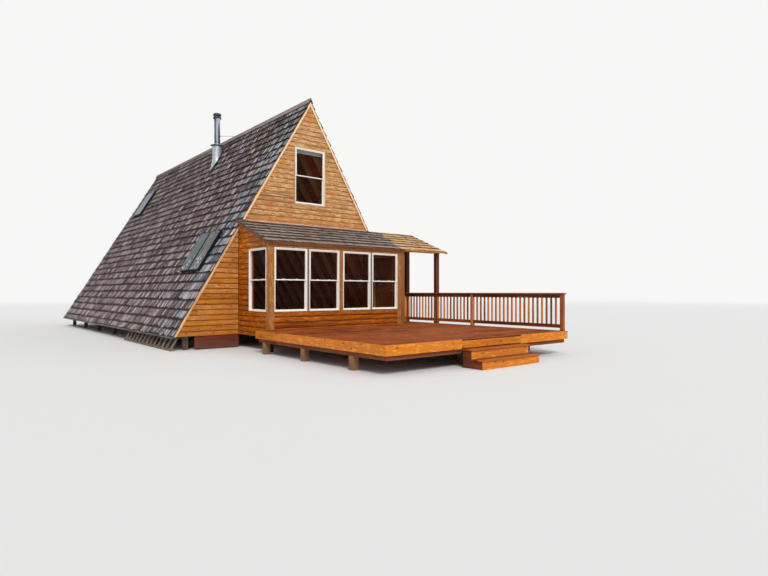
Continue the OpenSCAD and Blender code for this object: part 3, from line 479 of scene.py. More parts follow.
boards_depth = 0.087
lean_foot = 3.50
casing = 0.041
gable_line = 0.3475
window_sill = 1.02
window_head = 2.679
window_width = 0.98
rear_window_x = (-1.5, 0.52)
upper_half = 0.52
upper_sill = 4.2
upper_head = 5.882
upper_hole = (-upper_half - casing, upper_half + casing, upper_sill - casing, upper_head + casing)
rear_holes = [(x - casing, x + window_width + casing, window_sill - casing, window_head + casing)
              for x in rear_window_x]
bleached = wood("bleached_siding", ((120, 64, 18), (212, 134, 38), (234, 180, 108)), knots=0.75,
                gloss=0.6, spread=0.24, fade=((220, 182, 132), 1.2, 4.6), flush=(178, 110, 56))
for name, seed, face, outward, holes in (
        ("front_siding", 11, wall_low.y, -1, [(sun_low.x, sun_high.x, 0, lean_foot), upper_hole]),
        ("rear_siding", 12, rear_face, 1, [*rear_holes, upper_hole])):
    gable_siding = Pile(seed)
    siding(gable_siding, lambda u, z, out: np.stack([u, face + outward * out, z], axis=1),
           gable_line, wall_high.z - 0.05, lambda z: -gable_edge(z), gable_edge, holes)
    gable_siding.made(name, bleached, "siding")

# The sunroom's siding
# The same boards, but under the shelter of the lean-to roof and the eaves, so
# the oil keeps its deep orange-brown.
lean_top = 3.57
lean_eave = 2.861
lean_reach = 1.76
lean_pitch = math.atan2(lean_top - lean_eave, lean_reach)
lean_soffit = 0.072
corner_board = 0.13
side_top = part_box("sunroom_left_wall")[1].z
sunroom_line = 0.315
sun_window_x = (-2.165, -1.125, -0.015, 1.025)
side_window_y = -1.6
last_edge = sun_window_x[-1] + window_width
side_hole = (sun_low.y, side_window_y + window_width, window_sill, window_head)
door_hole = (-1.34, -0.35, 0.6, 2.67)


def lean_edge(height):
    """How far forward a sunroom side wall reaches at a height, under its roof"""
    under_boards = (height + lean_soffit - lean_top) / math.tan(lean_pitch)
    return np.clip(under_boards, sun_low.y + corner_board, -0.012)


def door_side_edge(height):
    """The same for the wall with the door, which has no corner board below the roof"""
    return lean_edge(height) - corner_board * (height < 2.8)


sunroom_siding = Pile(13)
siding(sunroom_siding, lambda u, z, out: np.stack([u, sun_low.y - out, z], axis=1), sunroom_line,
       window_sill, lambda z: z * 0 + sun_window_x[0], lambda z: z * 0 + last_edge, [])
for face, outward, front_edge, hole in ((sun_low.x, -1, lean_edge, side_hole),
                                        (sun_high.x, 1, door_side_edge, door_hole)):
    siding(sunroom_siding, lambda u, z, out: np.stack([face + outward * out, u, z], axis=1),
           sunroom_line, side_top, front_edge, lambda z: z * 0 + wall_low.y, [hole])
sheltered = wood("sheltered_siding", ((80, 34, 4), (194, 106, 18), (232, 160, 68)), knots=0.75,
                 gloss=0.55, spread=0.28, fade=((232, 142, 46), 1.4, 3.3), flush=(142, 66, 10))
sunroom_siding.made("sunroom_siding", sheltered, "siding")

# The windows
# White vinyl hung windows: a frame, a fixed upper sash and a lower sash that
# slides behind it, with welded mitres. The gable ones have a flat wood casing.
frame_profile = ((0, 0.003), (0.003, 0), (0.019, 0), (0.022, 0.003), (0.026, 0.008),
                 (0.026, 0.090), (0, 0.090))
sash_profile = ((0, 0), (0.021, 0), (0.024, 0.003), (0.030, 0.009), (0.030, 0.034), (0, 0.034))


def mitred(pile, to_world, x0, z0, x1, z1, profile, depth=0.0):
    """A frame with mitred corners; the profile is inwards and back from its outer edge"""
    corners = ((x0, z0, 1, 1), (x1, z0, -1, 1), (x1, z1, -1, -1), (x0, z1, 1, -1))
    pile.ring([[to_world(x + right * p, z + up * p, depth + back) for p, back in profile]
               for x, z, right, up in corners])


def hung_window(pile, origin, inward, size):
    """A whole window; its origin is the lower corner of its outer face"""
    def to_world(x, z, back):
        return np.array(origin) + across * x + np.array(inward) * back + (0, 0, z)
    across = np.abs(inward)[[1, 0, 2]]
    width, height = size
    jamb = 0.026
    half_rail = 0.015
    upper_sash = 0.010
    lower_sash = 0.044
    half_lock = 0.03
    foot = height / 2 - half_rail
    head = height / 2 + half_rail
    mitred(pile, to_world, 0, 0, width, height, frame_profile)
    mitred(pile, to_world, jamb, foot, width - jamb, height - jamb, sash_profile, upper_sash)
    mitred(pile, to_world, jamb, jamb, width - jamb, head, sash_profile, lower_sash)
    for x in (width * 0.3, width * 0.7):
        pile.board(to_world(x - half_lock, head, 0.052), to_world(x + half_lock, head + 0.014, 0.072))


window_size = (window_width, window_head - window_sill)
proud = 0.025
upper_size = (2 * upper_half, upper_head - upper_sill)
vinyl, mark = start("white_vinyl")
film = place(mark).noise(3.1, 3, 0.5)
coat(vinyl, (film * 0.5).mixed(srgb(244, 242, 236), srgb(216, 210, 198)), 0.38,
     place(mark).noise(60, 2, 0.5), 0.0003)
sunroom_frames = Pile()
for x in sun_window_x:
    hung_window(sunroom_frames, (x, sun_low.y - proud, window_sill), (0, 1, 0), window_size)
hung_window(sunroom_frames, (sun_low.x - proud, side_window_y, window_sill), (1, 0, 0), window_size)
sunroom_frames.made("sunroom_window_frames", vinyl, "vinyl", ["sunroom_windows"], 0.0015)
gable_frames = Pile()
for face, inward in ((wall_low.y - proud, 1), (rear_face + proud, -1)):
    hung_window(gable_frames, (-upper_half, face, upper_sill), (0, inward, 0), upper_size)
for x in rear_window_x:
    hung_window(gable_frames, (x, rear_face + proud, window_sill), (0, -1, 0), window_size)
gable_frames.made("gable_window_frames", vinyl, "vinyl", ["gable_windows"], 0.0015)

glass, mark = start("window_glass")
streaks = place(mark).scaled(9, 9, 2).noise(1, 3, 0.6)
coat(glass, (0.05, 0.018, 0.010), streaks * 0.05 + 0.01, IOR=1.5, Alpha=0.10,
     Specular_IOR_Level=0.16)
finish(glass, "sunroom_glass", "gable_glass")
finish(wood("casing_boards", ((132, 96, 48), (196, 156, 96), (224, 190, 136)), "Z", 0.35, 0.6),
       "window_casings")

# The strips between paired windows
# A flat dark strip with a bead down its middle covers the stud that two
# windows share.
strips = Pile()
strip_width = 0.06
bead_inset = 0.022
for x in (sun_window_x[0] + window_width, sun_window_x[2] + window_width):
    strips.board((x, sun_low.y - 0.012, window_sill), (x + strip_width, sun_low.y, window_head))
    strips.board((x + bead_inset, sun_low.y - 0.019, window_sill + 0.004),
                 (x + strip_width - bead_inset, sun_low.y - 0.011, window_head - 0.004))
strip_finish, mark = start("window_strips")
coat(strip_finish, place(mark).noise(5, 3, 0.6).mixed(srgb(74, 68, 58), srgb(112, 104, 86)), 0.6,
     place(mark).noise(40, 2, 0.5), 0.0005)
strips.made("window_strips", strip_finish, "dark_cladding", bevel=0.002)

# The blind behind the upper window
# A pleated blind of pale stiff paper, drawn up under a head rail inside the
# window's frame.
blind = Pile()
blind_half = 0.475
blind_face = wall_low.y - proud + 0.105
rail_top = upper_head - 0.04
rail_foot = rail_top - 0.03
pleats = 3
pleat = 0.018
zigzag = [(rail_foot - i * pleat / 2, 0.012 * (i % 2)) for i in range(2 * pleats + 1)]
lowest = zigzag[-1][0]
blind_loop = [*zigzag, (lowest, 0.022), (rail_foot, 0.022)]
blind.prism(*[[(x, blind_face + out, z) for z, out in blind_loop] for x in (-blind_half, blind_half)])
for half, low, high, front, back in ((blind_half + 0.003, rail_foot, rail_top, -0.004, 0.028),
                                     (blind_half + 0.001, lowest - 0.016, lowest, -0.002, 0.02)):
    blind.board((-half, blind_face + front, low), (half, blind_face + back, high))
paper, mark = start("blind_paper")
faded = place(mark).scaled(1, 1, 30).noise(2, 2, 0.5)
coat(paper, faded.mixed(srgb(214, 218, 214), srgb(178, 184, 182)), 0.8,
     place(mark).noise(220, 2, 0.5), 0.0004)
blind.made("drawn_blind", paper, "vinyl")

# The trim of the sunroom
# Clear-finished flat boards nailed round the windows. A thin strip painted dark
# runs along the header as the shadow under the lean-to's fascia, and a strip
# with its sides painted dark as shade covers the corner with the gable wall.
trim_tan = ((98, 60, 26), (176, 120, 64), (212, 166, 110))
trim_low, trim_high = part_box("sunroom_trim")
trim = Pile(21)
board_face = trim_low.y
corner_x = sun_low.x - 0.02
header_joint = 0.24
butt_gap = 0.003
half_gap = 0.002
board_top = window_head - half_gap
split = (last_edge + sun_high.x) / 2
for x0, x1, z0, z1 in (
        (corner_x, header_joint, window_head, trim_high.z),
        (header_joint + butt_gap, sun_high.x, window_head, trim_high.z),
        (corner_x, sun_window_x[0], eave_level, board_top),
        (sun_window_x[1] + window_width, sun_window_x[2], window_sill - 0.03, board_top),
        (last_edge, split - half_gap, eave_level, board_top)):
    trim.board((x0, board_face, z0), (x1, sun_low.y, z1))
trim.board((split + half_gap, board_face, eave_level), (sun_high.x, sun_low.y, board_top), 0.0)
trim.board((corner_x, sun_low.y, eave_level), (sun_low.x, side_window_y, trim_high.z))
fascia_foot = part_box("lean_to_fascia")[0].z
# A thin strip along the header under the fascia: its face is painted dark, as the shadow under the
# lean-to's eave
shadow_strip_width = 0.032
shadow_strip_top = fascia_foot - half_gap
trim.board((corner_x, board_face - 0.007, shadow_strip_top - shadow_strip_width),
           (sun_high.x, board_face + 0.001, shadow_strip_top), sides=1.4)
# The corner strip's upright faces are painted dark, as shade in the corner between the walls
corner_strip = 0.034
corner_top = 3.27
trim.board((sun_low.x - corner_strip, wall_low.y - corner_strip, eave_level),
           (sun_low.x, wall_low.y, corner_top), sides=0.7)
warm_tan = wood("trim_tan", trim_tan, knots=0.6, gloss=0.55, spread=0.34, flush=(146, 88, 36))
trim.made("trim_boards", warm_tan, "trim", ["sunroom_trim"], 0.003)

# The entry door
# A stained panel door in the sunroom's right-hand wall, with a plain frame
# and round knobs.
finish(wood("door_frame_tan", trim_tan, "Z", 0.4, 0.55), "door_frame")
finish(wood("door_stain", ((58, 28, 12), (118, 64, 32), (152, 92, 50)), "Z", 0.2, 0.4), "entry_door")

# The shakes of the two slopes
# Split cedar shakes, weathered to a purple grey and nailed in courses of
# 292 mm. Each is a wedge with its thick, ragged butt at the bottom.
slope_length = math.hypot(half_width, roof_rise)
roof_length = 14.5
# Each skylight's bottom and top up the slope, then its front and back along the roof
skylight_length = 1.346
skylights = []
for foot, middle, half in ((2.13, 1.1475, 0.34), (2.13, 1.9025, 0.34), (5.12, 13.001, 0.55)):
    low = (foot - eave_level) / slope_sin
    skylights.append((low, low + skylight_length, middle - half, middle + half))


def course_edges(rng, low, high, narrow, wide, cuts):
    """Edges of the shakes that fill a course from low to high, with a joint at each cut"""
    stops = sorted({low, high, *[c for c in cuts if low < c < high]})
    edges = []
    for a, b in pairwise(stops):
        widths = [rng.uniform(narrow, wide)]
        while sum(widths) < b - a:
            widths.append(rng.uniform(narrow, wide))
        points = a + np.concatenate([[0], np.cumsum(widths)]) * (b - a) / sum(widths)
        edges += pairwise(points)
    return edges


def shake_rows(rng, lines, length, low, high, lap, narrow, wide, holes=()):
    """Each shake as a row: its side edges, butt, head, and its course's line and depth"""
    rows = []
    for line, course in zip(lines, np.diff(lines, append=length)):
        head = line + course + lap
        near = [h for h in holes if line < h[1] and head > h[0]]
        for a, b in course_edges(rng, low, high, narrow, wide, [e for h in near for e in h[2:]]):
            hole = next((h for h in near if h[2] < (a + b) / 2 < h[3]), None)
            top = min(head, length)
            if hole is None:
                rows.append((a, b, line, top, line, course))
                continue
            if line < hole[0] - 0.02:
                rows.append((a, b, line, min(top, hole[0] - 0.004), line, course))
            if line + course > hole[1] + 0.02:
                rows.append((a, b, max(line, hole[1] + 0.004), top, line, course))
    return np.array(rows)


def add_shakes(pile, rows, to_world, butt, joint, ragged):
    """Wedge-shaped shakes, three strips wide, with ragged butts"""
    rng = pile.rng
    count = len(rows)
    across = np.array([0, 0.34, 0.68, 1.0])
    left, right, bottom, end, line, course = rows.T[:, :, None]
    gap = rng.uniform(0.3, 1.0, (count, 1)) * joint
    left = left + gap / 2
    right = right - gap / 2
    side = left + (right - left) * across
    edge = (rng.uniform(0, 0.8, (count, 1)) + rng.normal(0, 0.16, (count, 4))
            + rng.normal(0, 0.35, (count, 1)) * (across - 0.5)) * ragged
    wave = np.sin(side * 1.9 + line * 11) + np.sin(side * 4.7 + line * 23)
    edge += (0.3 + 0.15 * wave) * ragged
    foot = bottom + edge.clip(0, None) * np.isclose(bottom, line)
    head = np.repeat(end, 4, axis=1)
    thick = butt * rng.uniform(0.45, 1.0, (count, 1))
    lump = rng.uniform(0, 0.10, (count, 4)) * butt
    points = np.zeros((count, 2, 4, 2, 3))
    grain = np.zeros((count, 2, 4, 2, 3))
    groove = np.zeros((count, 2, 4, 2))
    # groove holds how far up its course each point lies; weathered() turns it into the painted shadow of
    # the next butt
    for row, s in enumerate((foot, head)):
        rise = (s - line) / course
        top = (thick - butt) * (1 - rise) - butt * 0.92 * rise - lump
        base = top - (thick if row == 0 else 0.15 * butt)
        for layer, n in enumerate((top, base)):
            points[:, row, :, layer] = to_world(s, side, n)
            grain[:, row, :, layer] = np.stack([side, s, n], axis=-1)
            groove[:, row, :, layer] = rise
    grain += rng.uniform(0, 40, (count, 1, 1, 1, 3))
    at = np.arange(16).reshape(2, 4, 2)
    quads = []
    for a in range(3):
        quads += [(at[0, a, 0], at[0, a + 1, 0], at[1, a + 1, 0], at[1, a, 0]),
                  (at[0, a, 1], at[1, a, 1], at[1, a + 1, 1], at[0, a + 1, 1]),
                  (at[0, a, 0], at[0, a, 1], at[0, a + 1, 1], at[0, a + 1, 0]),
                  (at[1, a, 0], at[1, a + 1, 0], at[1, a + 1, 1], at[1, a, 1])]
    for a in (0, 3):
        quads.append((at[0, a, 0], at[1, a, 0], at[1, a, 1], at[0, a, 1]))
    faces = (np.arange(count)[:, None, None] * 16 + np.array(quads)[None]).reshape(-1, 4)
    # Every face but the top is painted fully dark: painted shade on the butt, the sides and the
    # underside
    ends = np.tile([0, 2, 2, 2] * 3 + [2, 2], count)
    pile.add(points, faces.tolist(), grain, np.repeat(rng.uniform(0, 1, count), len(quads)),
             groove.ravel(), ends)


def weathered(name, tones, stain_amount, moss, silver=0.0, lip=(1.0, 1.12), uneven=0.6, streaky=1.0):
    """Cedar left to weather: each piece its own tone, streaked along the grain.
    Tones are its shadow, body, pale and stain colours. Lip is where up its course
    the shadow of the next butt starts and is full; uneven is how far the tones
    differ and streaky how strong the streaks are."""
    shadow, body, pale, stain = (srgb(*tone) for tone in tones)
    material, mark = start(name)
    point = along(mark, "own")
    fine = point.scaled(170, 5, 170).noise(1, 4, 0.6)
    broad = point.scaled(24, 1.8, 24).noise(1, 3, 0.5)
    where = place(mark)
    blotch = where.noise(0.9, 4, 0.6)
    tone = stored(mark, "tone")
    level = (tone * uneven + (broad * 1.7 + fine * 1.3) * streaky + blotch * 0.30
             - where.part(2) * 0.022 - (uneven / 2 + streaky * 1.5 - 0.33))
    stained = (where.noise(0.55, 5, 0.6) + tone * 0.30).step(0.60, 0.80)
    colour = (stained * stain_amount).mixed(body, stain)
    green = (where.scaled(1, 1, 1.3).noise(0.8, 5, 0.65) + tone * 0.30).step(0.66, 0.86)
    colour = (green * moss).mixed(colour, srgb(124, 114, 86))
    if silver:
        near_rake = 1 - where.part(1).step(0.5, 2.8)
        bare = (near_rake * 0.46 + tone * 0.30 + where.noise(1.2, 3, 0.6) * 0.6).step(0.68, 1.05)
        colour = (bare * silver).mixed(colour, srgb(138, 152, 158))
    colour = level.step(0.04, 0.48).mixed(shadow, colour)
    colour = level.step(0.47, 0.97).mixed(colour, pale)
    under_next = (stored(mark, "groove") + broad * (streaky * 0.2)).step(*lip)
    colour = (under_next * 0.93).mixed(colour, tuple(c * 0.12 for c in shadow))
    coat(material, colour, 0.88, fine * 0.6 + broad, 0.005)
    return material


def on_left(s, y, n):
    """Points of the left slope: s up it, y along the roof and n out of it"""
    x = -half_width + s * slope_cos - n * slope_sin
    z = eave_level + s * slope_sin + n * slope_cos
    return np.stack(np.broadcast_arrays(x, y, z), axis=-1)


purple_grey = weathered(
    "weathered_shakes", ((25, 16, 21), (101, 75, 84), (206, 190, 196), (104, 74, 54)),
    stain_amount=0.85, moss=0.85, silver=0.85, streaky=1.45)
shake_reach = 0.03
shake_course = 0.292
shake_lines = [0, *np.arange(0.235, slope_length - shake_course, shake_course)]
for side_name, side, holes, seed in (("left", 1, skylights, 3), ("right", -1, (), 4)):
    shakes = Pile(seed)
    rows = shake_rows(shakes.rng, shake_lines, slope_length, -shake_reach, roof_length + shake_reach,
                      lap=0.09, narrow=0.06, wide=0.19, holes=holes)
    add_shakes(shakes, rows, lambda s, y, n: on_left(s, y, n) * (side, 1, 1),
               butt=0.042, joint=0.018, ragged=0.055)
    shakes.made(side_name + "_split_shakes", purple_grey, "shakes", [side_name + "_shakes"])

# The edges of the main roof
# Narrow pale boards follow each rake. The boards that close the eaves and the
# two that cap the ridge are bare, and grey with age.
rake_thick = 0.022
rake_depths = (0.045, 0.113)
rakes = Pile(7)


def rake_board(side, face, foot, plumb):
    """A board up a rake from a level foot to a plumb cut near the middle"""
    ends = [(side * under_roof(foot, depth), foot) for depth in rake_depths]
    ends += [(side * plumb, eave_level + roof_rise * (1 - (plumb + depth / slope_sin) / half_width))
             for depth in reversed(rake_depths)]
    loops = [[(x, y, z) for x, z in ends] for y in (face, face + rake_thick)]
    corners = np.concatenate(loops)
    grain = np.stack([corners[:, 0] * slope_sin + corners[:, 2] * slope_cos * side,
                      corners[:, 2] * slope_sin - corners[:, 0] * slope_cos * side,
                      corners[:, 1]], axis=1) + rakes.rng.uniform(0, 40, 3)
    rakes.prism(*loops, grain, rakes.rng.uniform(0, 1))


above_apron = 3.562
for side in (-1, 1):
    rake_board(side, -rake_thick, eave_level, sun_high.x + butt_gap)
    rake_board(side, -rake_thick, above_apron, half_gap)
    rake_board(side, roof_length, eave_level, half_gap)
rake_tan = wood("rake_tan", ((170, 116, 72), (236, 192, 142), (252, 224, 188)), knots=0.5, spread=0.3)
rakes.made("pale_rake_boards", rake_tan, "trim", ["rake_boards"], 0.002)
finish(wood("eave_grey", ((44, 44, 48), (92, 94, 100), (150, 154, 160)), "Y", 0.3, 0.8), "eave_boards")
finish(wood("ridge_grey", ((64, 54, 54), (132, 120, 118), (186, 178, 176)), "Y", 0.3, 0.85), "ridge_cap")

# The shingles of the lean-to roof
# Long cedar shingles in courses of 273 mm, grey-brown over the sunroom and
# still tan over the porch. The two meet along a staggered line.
lean_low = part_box("sunroom_shingles")[0]
lean_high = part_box("porch_shingles")[1]
lean_length = (lean_reach - 0.032) / math.cos(lean_pitch)


def on_lean(s, x, n):
    """Points of the lean-to roof: s up it, x along its eave and n out of it"""
    y = lean_low.y + s * math.cos(lean_pitch) - n * math.sin(lean_pitch)
    z = lean_eave + s * math.sin(lean_pitch) + n * math.cos(lean_pitch)
    return np.stack(np.broadcast_arrays(x, y, z), axis=-1)


lean_course = 0.2727
lean_lines = [0, *(0.3558 + lean_course * np.arange(6))]
lean_shingles = Pile(5)
rows = shake_rows(lean_shingles.rng, lean_lines, lean_length, lean_low.x, lean_high.x,
                  lap=0.08, narrow=0.07, wide=0.22)
meeting_x = 2.26
meeting_drift = 0.43
boundary = meeting_x + meeting_drift * rows[:, 4] / lean_length
boundary += lean_shingles.rng.uniform(-0.08, 0.08, len(rows))
is_new = (rows[:, 0] + rows[:, 1]) / 2 > boundary
old_grey = weathered(
    "old_shingles", ((78, 62, 54), (148, 130, 118), (210, 198, 188), (130, 104, 86)),
    stain_amount=0.3, moss=0.3, lip=(0.56, 0.78), uneven=0.35, streaky=0.45)
new_tan = weathered(
    "new_shingles", ((150, 104, 54), (222, 178, 122), (248, 222, 182), (200, 146, 90)),
    stain_amount=0.5, moss=0.0, lip=(0.70, 0.92), uneven=0.4, streaky=0.5)
porch_shingles = Pile(6)
for pile, chosen in ((lean_shingles, ~is_new), (porch_shingles, is_new)):
    add_shakes(pile, rows[chosen], on_lean, butt=0.024, joint=0.006, ragged=0.008)
lean_shingles.made("old_lean_to_shingles", old_grey, "old_shingles", ["sunroom_shingles"])
porch_shingles.made("new_porch_shingles", new_tan, "new_shingles", ["porch_shingles"])

# The boards of the lean-to roof
# Red-brown boards edge the sunroom's roof and tan ones the newer porch roof.
# A bent metal sheet, painted pinkish tan, covers the joint with the gable.
finish(wood("lean_to_red", ((56, 22, 12), (114, 62, 40), (156, 104, 76)), "X", 0.3, 0.6),
       "lean_to_fascia")
finish(wood("porch_tan", trim_tan, "X", 0.5, 0.6), "porch_fascia", "porch_beams")
finish(wood("soffit_tan", ((112, 74, 40), (170, 122, 72), (200, 156, 104)), "X", 0.5, 0.65,
            felt=True), "lean_to_roof")
apron, mark = start("apron_paint")
worn = place(mark).scaled(2, 8, 8).noise(1.4, 4, 0.6)
coat(apron, worn.step(0.42, 0.68).mixed(srgb(214, 176, 156), srgb(168, 128, 108)), 0.55,
     place(mark).noise(9, 3, 0.5), 0.001)
finish(apron, "apron_flashing")

# The porch frame
# Two red-brown posts on the ground carry two beams, and four sawn rafters
# lie across those under the roof boards.
finish(wood("porch_rafter_tan", trim_tan, "Y", 0.5, 0.6), "porch_rafters")
post_low, post_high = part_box("porch_posts")
beam_setback = 0.08
beam_depth = 0.14
rafter_depth = 0.065 / math.cos(lean_pitch)
rear_post_top = lean_top - beam_setback * math.tan(lean_pitch) - rafter_depth - beam_depth
porch_posts = Pile(31)
post_w = 0.13
for y, top in ((post_low.y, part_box("porch_beams")[0].z), (post_high.y - post_w, rear_post_top)):
    porch_posts.board((post_low.x, y, 0), (post_high.x, y + post_w, top))
post_brown = wood("post_brown", ((54, 24, 16), (104, 52, 34), (138, 82, 56)), knots=0.5, gloss=0.65)
porch_posts.made("squared_porch_posts", post_brown, "brown_trim", ["porch_posts"], 0.006)

# The deck's frame
# Joists on drop beams, stained red-brown, stand on short square posts. The
# posts have a lighter coat, and splashes of grit at their feet.
finish(wood("beam_red", ((70, 32, 20), (128, 70, 44), (164, 104, 72)), "X", 0.4, 0.7), "deck_frame")
finish(wood("deck_post_tan", ((104, 62, 36), (170, 116, 74), (202, 156, 114)), "Z", 0.5, 0.75,
            dirt=0.5), "deck_posts")

# The deck boards
# Stained planks 142 mm wide run from side to side, with a joint in most rows
# over a joist and 6 mm gaps between them.
red_stain = ((72, 28, 6), (156, 76, 16), (190, 112, 44))
deck_low, deck_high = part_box("deck_boards")
deck_front = deck_low.y + 0.025
step_left = -0.66
step_right = 1.24
step_end = step_right + 0.05
planks = Pile(41)
gap = 0.006
plank_rows = 34
side_rows = 12
pitch = (sun_low.y - deck_front) / plank_rows
joist_step = (deck_high.x - deck_low.x) / 10
for row in range(plank_rows + side_rows):
    y0 = deck_front + row * pitch
    x_start = deck_low.x if row < plank_rows else sun_high.x
    y1 = min(y0 + pitch - gap, deck_high.y)
    cut = deck_low.x + joist_step * planks.rng.integers(3, 8)
    if row == 0:
        stretches = ((step_left + butt_gap, step_end - butt_gap, deck_low.y),
                     (x_start, step_left, y0), (step_end, deck_high.x, y0))
    elif row < plank_rows and planks.rng.uniform() < 0.8:
        stretches = ((x_start, cut - half_gap, y0), (cut + half_gap, deck_high.x, y0))
    else:
        stretches = ((x_start, deck_high.x, y0),) if y1 > y0 + 0.02 else ()
    for a, b, front in stretches:
        # The planks' upright sides are painted dark, as shade in the gaps between them
        planks.board((a, front, deck_low.z), (b, y1, deck_high.z), sides=1.2 if row else 0.6)
deck_red = wood("deck_red", red_stain, knots=0.45, gloss=0.75, spread=0.5, flush=(128, 54, 12),
                patchy=1.2)
planks.made("deck_planks", deck_red, "red_boards", ["deck_boards"], 0.004)

# The deck's fascia
# Amber-stained boards 195 mm deep, butted end to end, with a narrower one
# over the steps.
amber = wood("amber_stain", ((134, 66, 8), (224, 142, 40), (242, 178, 88)), knots=0.85,
             gloss=0.45, spread=0.30, flush=(200, 106, 18))
fascia_low, fascia_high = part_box("deck_fascia")
fascia = Pile(42)
thick = 0.025
fascia_back = fascia_low.y + thick
short_foot = 0.392
for a, b in pairwise((fascia_low.x, -1.95, -1.30, step_left)):
    fascia.board((a, fascia_low.y, fascia_low.z), (b - butt_gap, fascia_back, fascia_high.z))
fascia.board((step_left, fascia_low.y, short_foot), (step_end - butt_gap, fascia_back, deck_low.z))
fascia.board((step_end, fascia_low.y, fascia_low.z), (fascia_high.x, fascia_back, fascia_high.z))
for x, y_end, cut in ((fascia_low.x, sun_low.y, -3.3), (fascia_high.x - thick, fascia_high.y, -2.9)):
    for a, b in ((fascia_back + butt_gap, cut), (cut + butt_gap, y_end)):
        fascia.board((x, a, fascia_low.z), (x + thick, b, fascia_high.z))
fascia.made("fascia_boards", amber, "amber_boards", ["deck_fascia"], 0.003)

# The steps
# Two treads of paired planks on amber risers, carried by three notched
# stringers.
riser_height = deck_high.z / 3
tread_thick = 0.028
run = 0.275
nosing = 0.03
inset = 0.02
treads = Pile(43)
risers = Pile(44)
for i in (1, 2):
    front = deck_low.y - i * run
    back = front + run + (nosing if i == 2 else 0)
    top = (3 - i) * riser_height
    middle = (front + back) / 2
    for a, b in ((front, middle - butt_gap), (middle + butt_gap, back)):
        treads.board((step_left, a, top - tread_thick), (step_right, b, top))
    low = 0 if i == 2 else riser_height - tread_thick
    risers.board((step_left + inset, front + nosing, low),
                 (step_right - inset, front + nosing + thick, top - tread_thick))
tread_red = wood("tread_red", red_stain, knots=0.45, gloss=0.5, spread=0.3)
treads.made("tread_planks", tread_red, "red_boards", ["step_treads"], 0.004)
risers.made("riser_boards", amber, "amber_boards", ["step_risers"], 0.002)
finish(wood("stringer_red", ((60, 26, 16), (110, 56, 36), (146, 88, 62)), "Y", 0.4, 0.7),
       "step_stringers")

# The railing
# Three square posts, two rails to a bay and square balusters between them,
# all in an orange-brown stain, under a flat cap that has kept more red.
rail_orange = wood("rail_orange", ((96, 46, 16), (184, 106, 50), (218, 150, 96)), knots=0.4,
                   gloss=0.5, spread=0.5)
rail_x = 3.1
post_half = 0.045
stick_half = 0.019
rail_depth = 0.089
baluster_step = 0.135
cap_low, cap_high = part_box("rail_cap")
rail_post_y = (-6.69, -3.78, -0.87)
rail_posts = Pile(51)
panels = Pile(52)
for y in rail_post_y:
    rail_posts.board((rail_x - post_half, y - post_half, deck_high.z),
                     (rail_x + post_half, y + post_half, cap_low.z))
rail_bottom = deck_high.z + 0.07
for a, b in pairwise((*rail_post_y, deck_high.y + post_half)):
    y0 = a + post_half
    y1 = b - post_half
    for z in (rail_bottom, cap_low.z - rail_depth):
        panels.board((rail_x - stick_half, y0, z), (rail_x + stick_half, y1, z + rail_depth))
    count = round((y1 - y0) / baluster_step)
    for y in np.linspace(y0, y1, count + 1)[1:-1]:
        panels.board((rail_x - stick_half, y - stick_half, rail_bottom + rail_depth),
                     (rail_x + stick_half, y + stick_half, cap_low.z - rail_depth))
rail_posts.made("square_rail_posts", rail_orange, "amber_boards", ["rail_posts"], 0.004)
panels.made("rails_and_balusters", rail_orange, "amber_boards", ["rail_panels"], 0.002)
cap = Pile(53)
cap_joint = -3.788
for a, b in ((cap_low.y, cap_joint - half_gap), (cap_joint + half_gap, cap_high.y)):
    cap.board((cap_low.x, a, cap_low.z), (cap_high.x, b, cap_high.z))
cap_red = wood("cap_red", ((62, 24, 16), (122, 62, 44), (164, 104, 82)), knots=0.4, gloss=0.45)
cap.made("cap_boards", cap_red, "red_boards", ["rail_cap"], 0.005)

# The skylights
# Three fixed roof windows with dark metal-clad frames and tinted glass, two
# low down near the front and one at the back. Reflections of trees and sky and
# bright glints are painted into the glass's colour.
cladding, mark = start("skylight_cladding")
scuffed = place(mark).noise(6, 4, 0.6)
coat(cladding, scuffed.mixed(srgb(5, 8, 16), srgb(24, 31, 48)), 0.45,
     place(mark).noise(30, 2, 0.5), 0.0006, Specular_IOR_Level=0.2)
finish(cladding, "skylight_frames")
roof_glass, mark = start("roof_glass")
# The glass's colour is its tint plus painted reflections of trees and sky, darker and paler in patches;
# the patches also vary its roughness
dust_and_reflection = place(mark).scaled(1, 1, 0.6).noise(2.6, 4, 0.6).step(0.35, 0.70)
past_first = place(mark).part(1).step(1.52, 1.53)
tint_and_reflection = past_first.mixed(dust_and_reflection.mixed(srgb(22, 30, 20), srgb(96, 104, 80)),
                        dust_and_reflection.mixed(srgb(2, 22, 26), srgb(46, 74, 78)))
# Bright specks low on the glass are painted glints
low_down = 1 - place(mark).part(2).step(2.35, 2.75)
painted_glints = (place(mark).noise(11, 2, 0.5).step(0.56, 0.64) * low_down).mixed(tint_and_reflection, srgb(214, 224, 222))
coat(roof_glass, painted_glints, dust_and_reflection * 0.2 + 0.05, IOR=1.5, Alpha=0.9, Specular_IOR_Level=0.2)
finish(roof_glass, "skylight_glass")
beads = Pile()
skylight_wall = 0.040
skylight_rim = 0.0648
bead_profile = ((0.0005, 0), (0.016, 0.003), (0.016, 0.0075), (0.0005, 0.0075))
for low, high, front, back in skylights:
    mitred(beads, lambda y, s, down: on_left(s, y, skylight_rim - down),
           front + skylight_wall, low + skylight_wall, back - skylight_wall, high - skylight_wall,
           bead_profile)
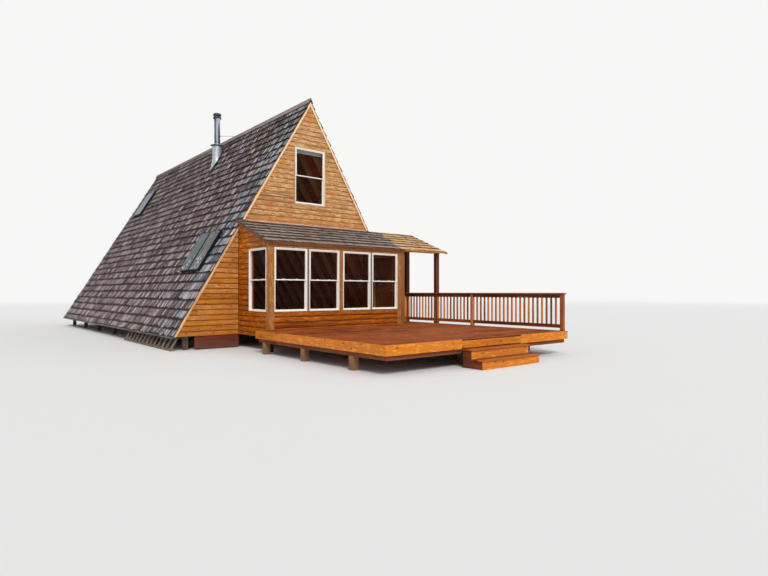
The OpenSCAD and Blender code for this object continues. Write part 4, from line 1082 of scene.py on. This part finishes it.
bead_metal, mark = start("skylight_beads")
coat(bead_metal, place(mark).noise(5, 3, 0.6).mixed(srgb(88, 104, 122), srgb(150, 164, 180)), 0.4,
     place(mark).noise(50, 2, 0.5), 0.0003, Metallic=0.3)
beads.made("skylight_beads", bead_metal, "galvanised")

# The stovepipe
# A double-walled stainless pipe through the left slope, with a band at each
# joint, a round cap, a storm collar and a cone flashing of galvanised sheet.
pipe_x = -0.505
pipe_y = 5.8
pipe_r = 0.11
steel, mark = start("pipe_steel")
brushed = place(mark).scaled(3, 3, 60).noise(1, 3, 0.6)
stains = place(mark).scaled(14, 14, 0.7).noise(1, 2, 0.5).step(0.40, 0.60)
coat(steel, stains.mixed(srgb(50, 54, 66), srgb(164, 172, 186)), brushed * 0.16 + 0.2,
     brushed, 0.0004, Metallic=1.0)
finish(steel, "stovepipe", "pipe_brace")
black_steel, mark = start("cap_steel")
sooty = place(mark).noise(7, 4, 0.6)
coat(black_steel, sooty.mixed(srgb(38, 40, 44), srgb(84, 88, 92)), sooty * 0.3 + 0.3, sooty, 0.0006,
     Metallic=0.8)
finish(black_steel, "pipe_cap")
zinc, mark = start("galvanised_sheet")
spangle = place(mark)
flake = spangle.node("ShaderNodeTexVoronoi", {}, {"Vector": spangle, "Scale": 45.0})
runs = spangle.scaled(6, 6, 1).noise(1.6, 4, 0.6)
coat(zinc, (runs * 0.7 + flake * 0.5).step(0.3, 0.9).mixed(srgb(204, 212, 216), srgb(142, 152, 158)),
     flake * 0.2 + 0.38, runs, 0.001, Metallic=0.55)
finish(zinc, "pipe_flashing")
bands = Pile()
angles = np.linspace(0, 2 * math.pi, 48, endpoint=False)
band_in = pipe_r - 0.002
band_out = pipe_r + 0.006
band_profile = [(band_in, 0), (band_out, 0.004), (band_out, 0.03), (band_in, 0.034)]
for z in (7.42, 8.06):
    bands.ring([[(pipe_x + r * math.cos(a), pipe_y + r * math.sin(a), z + up) for r, up in band_profile]
                for a in angles])
bands.made("pipe_bands", steel, "stainless")
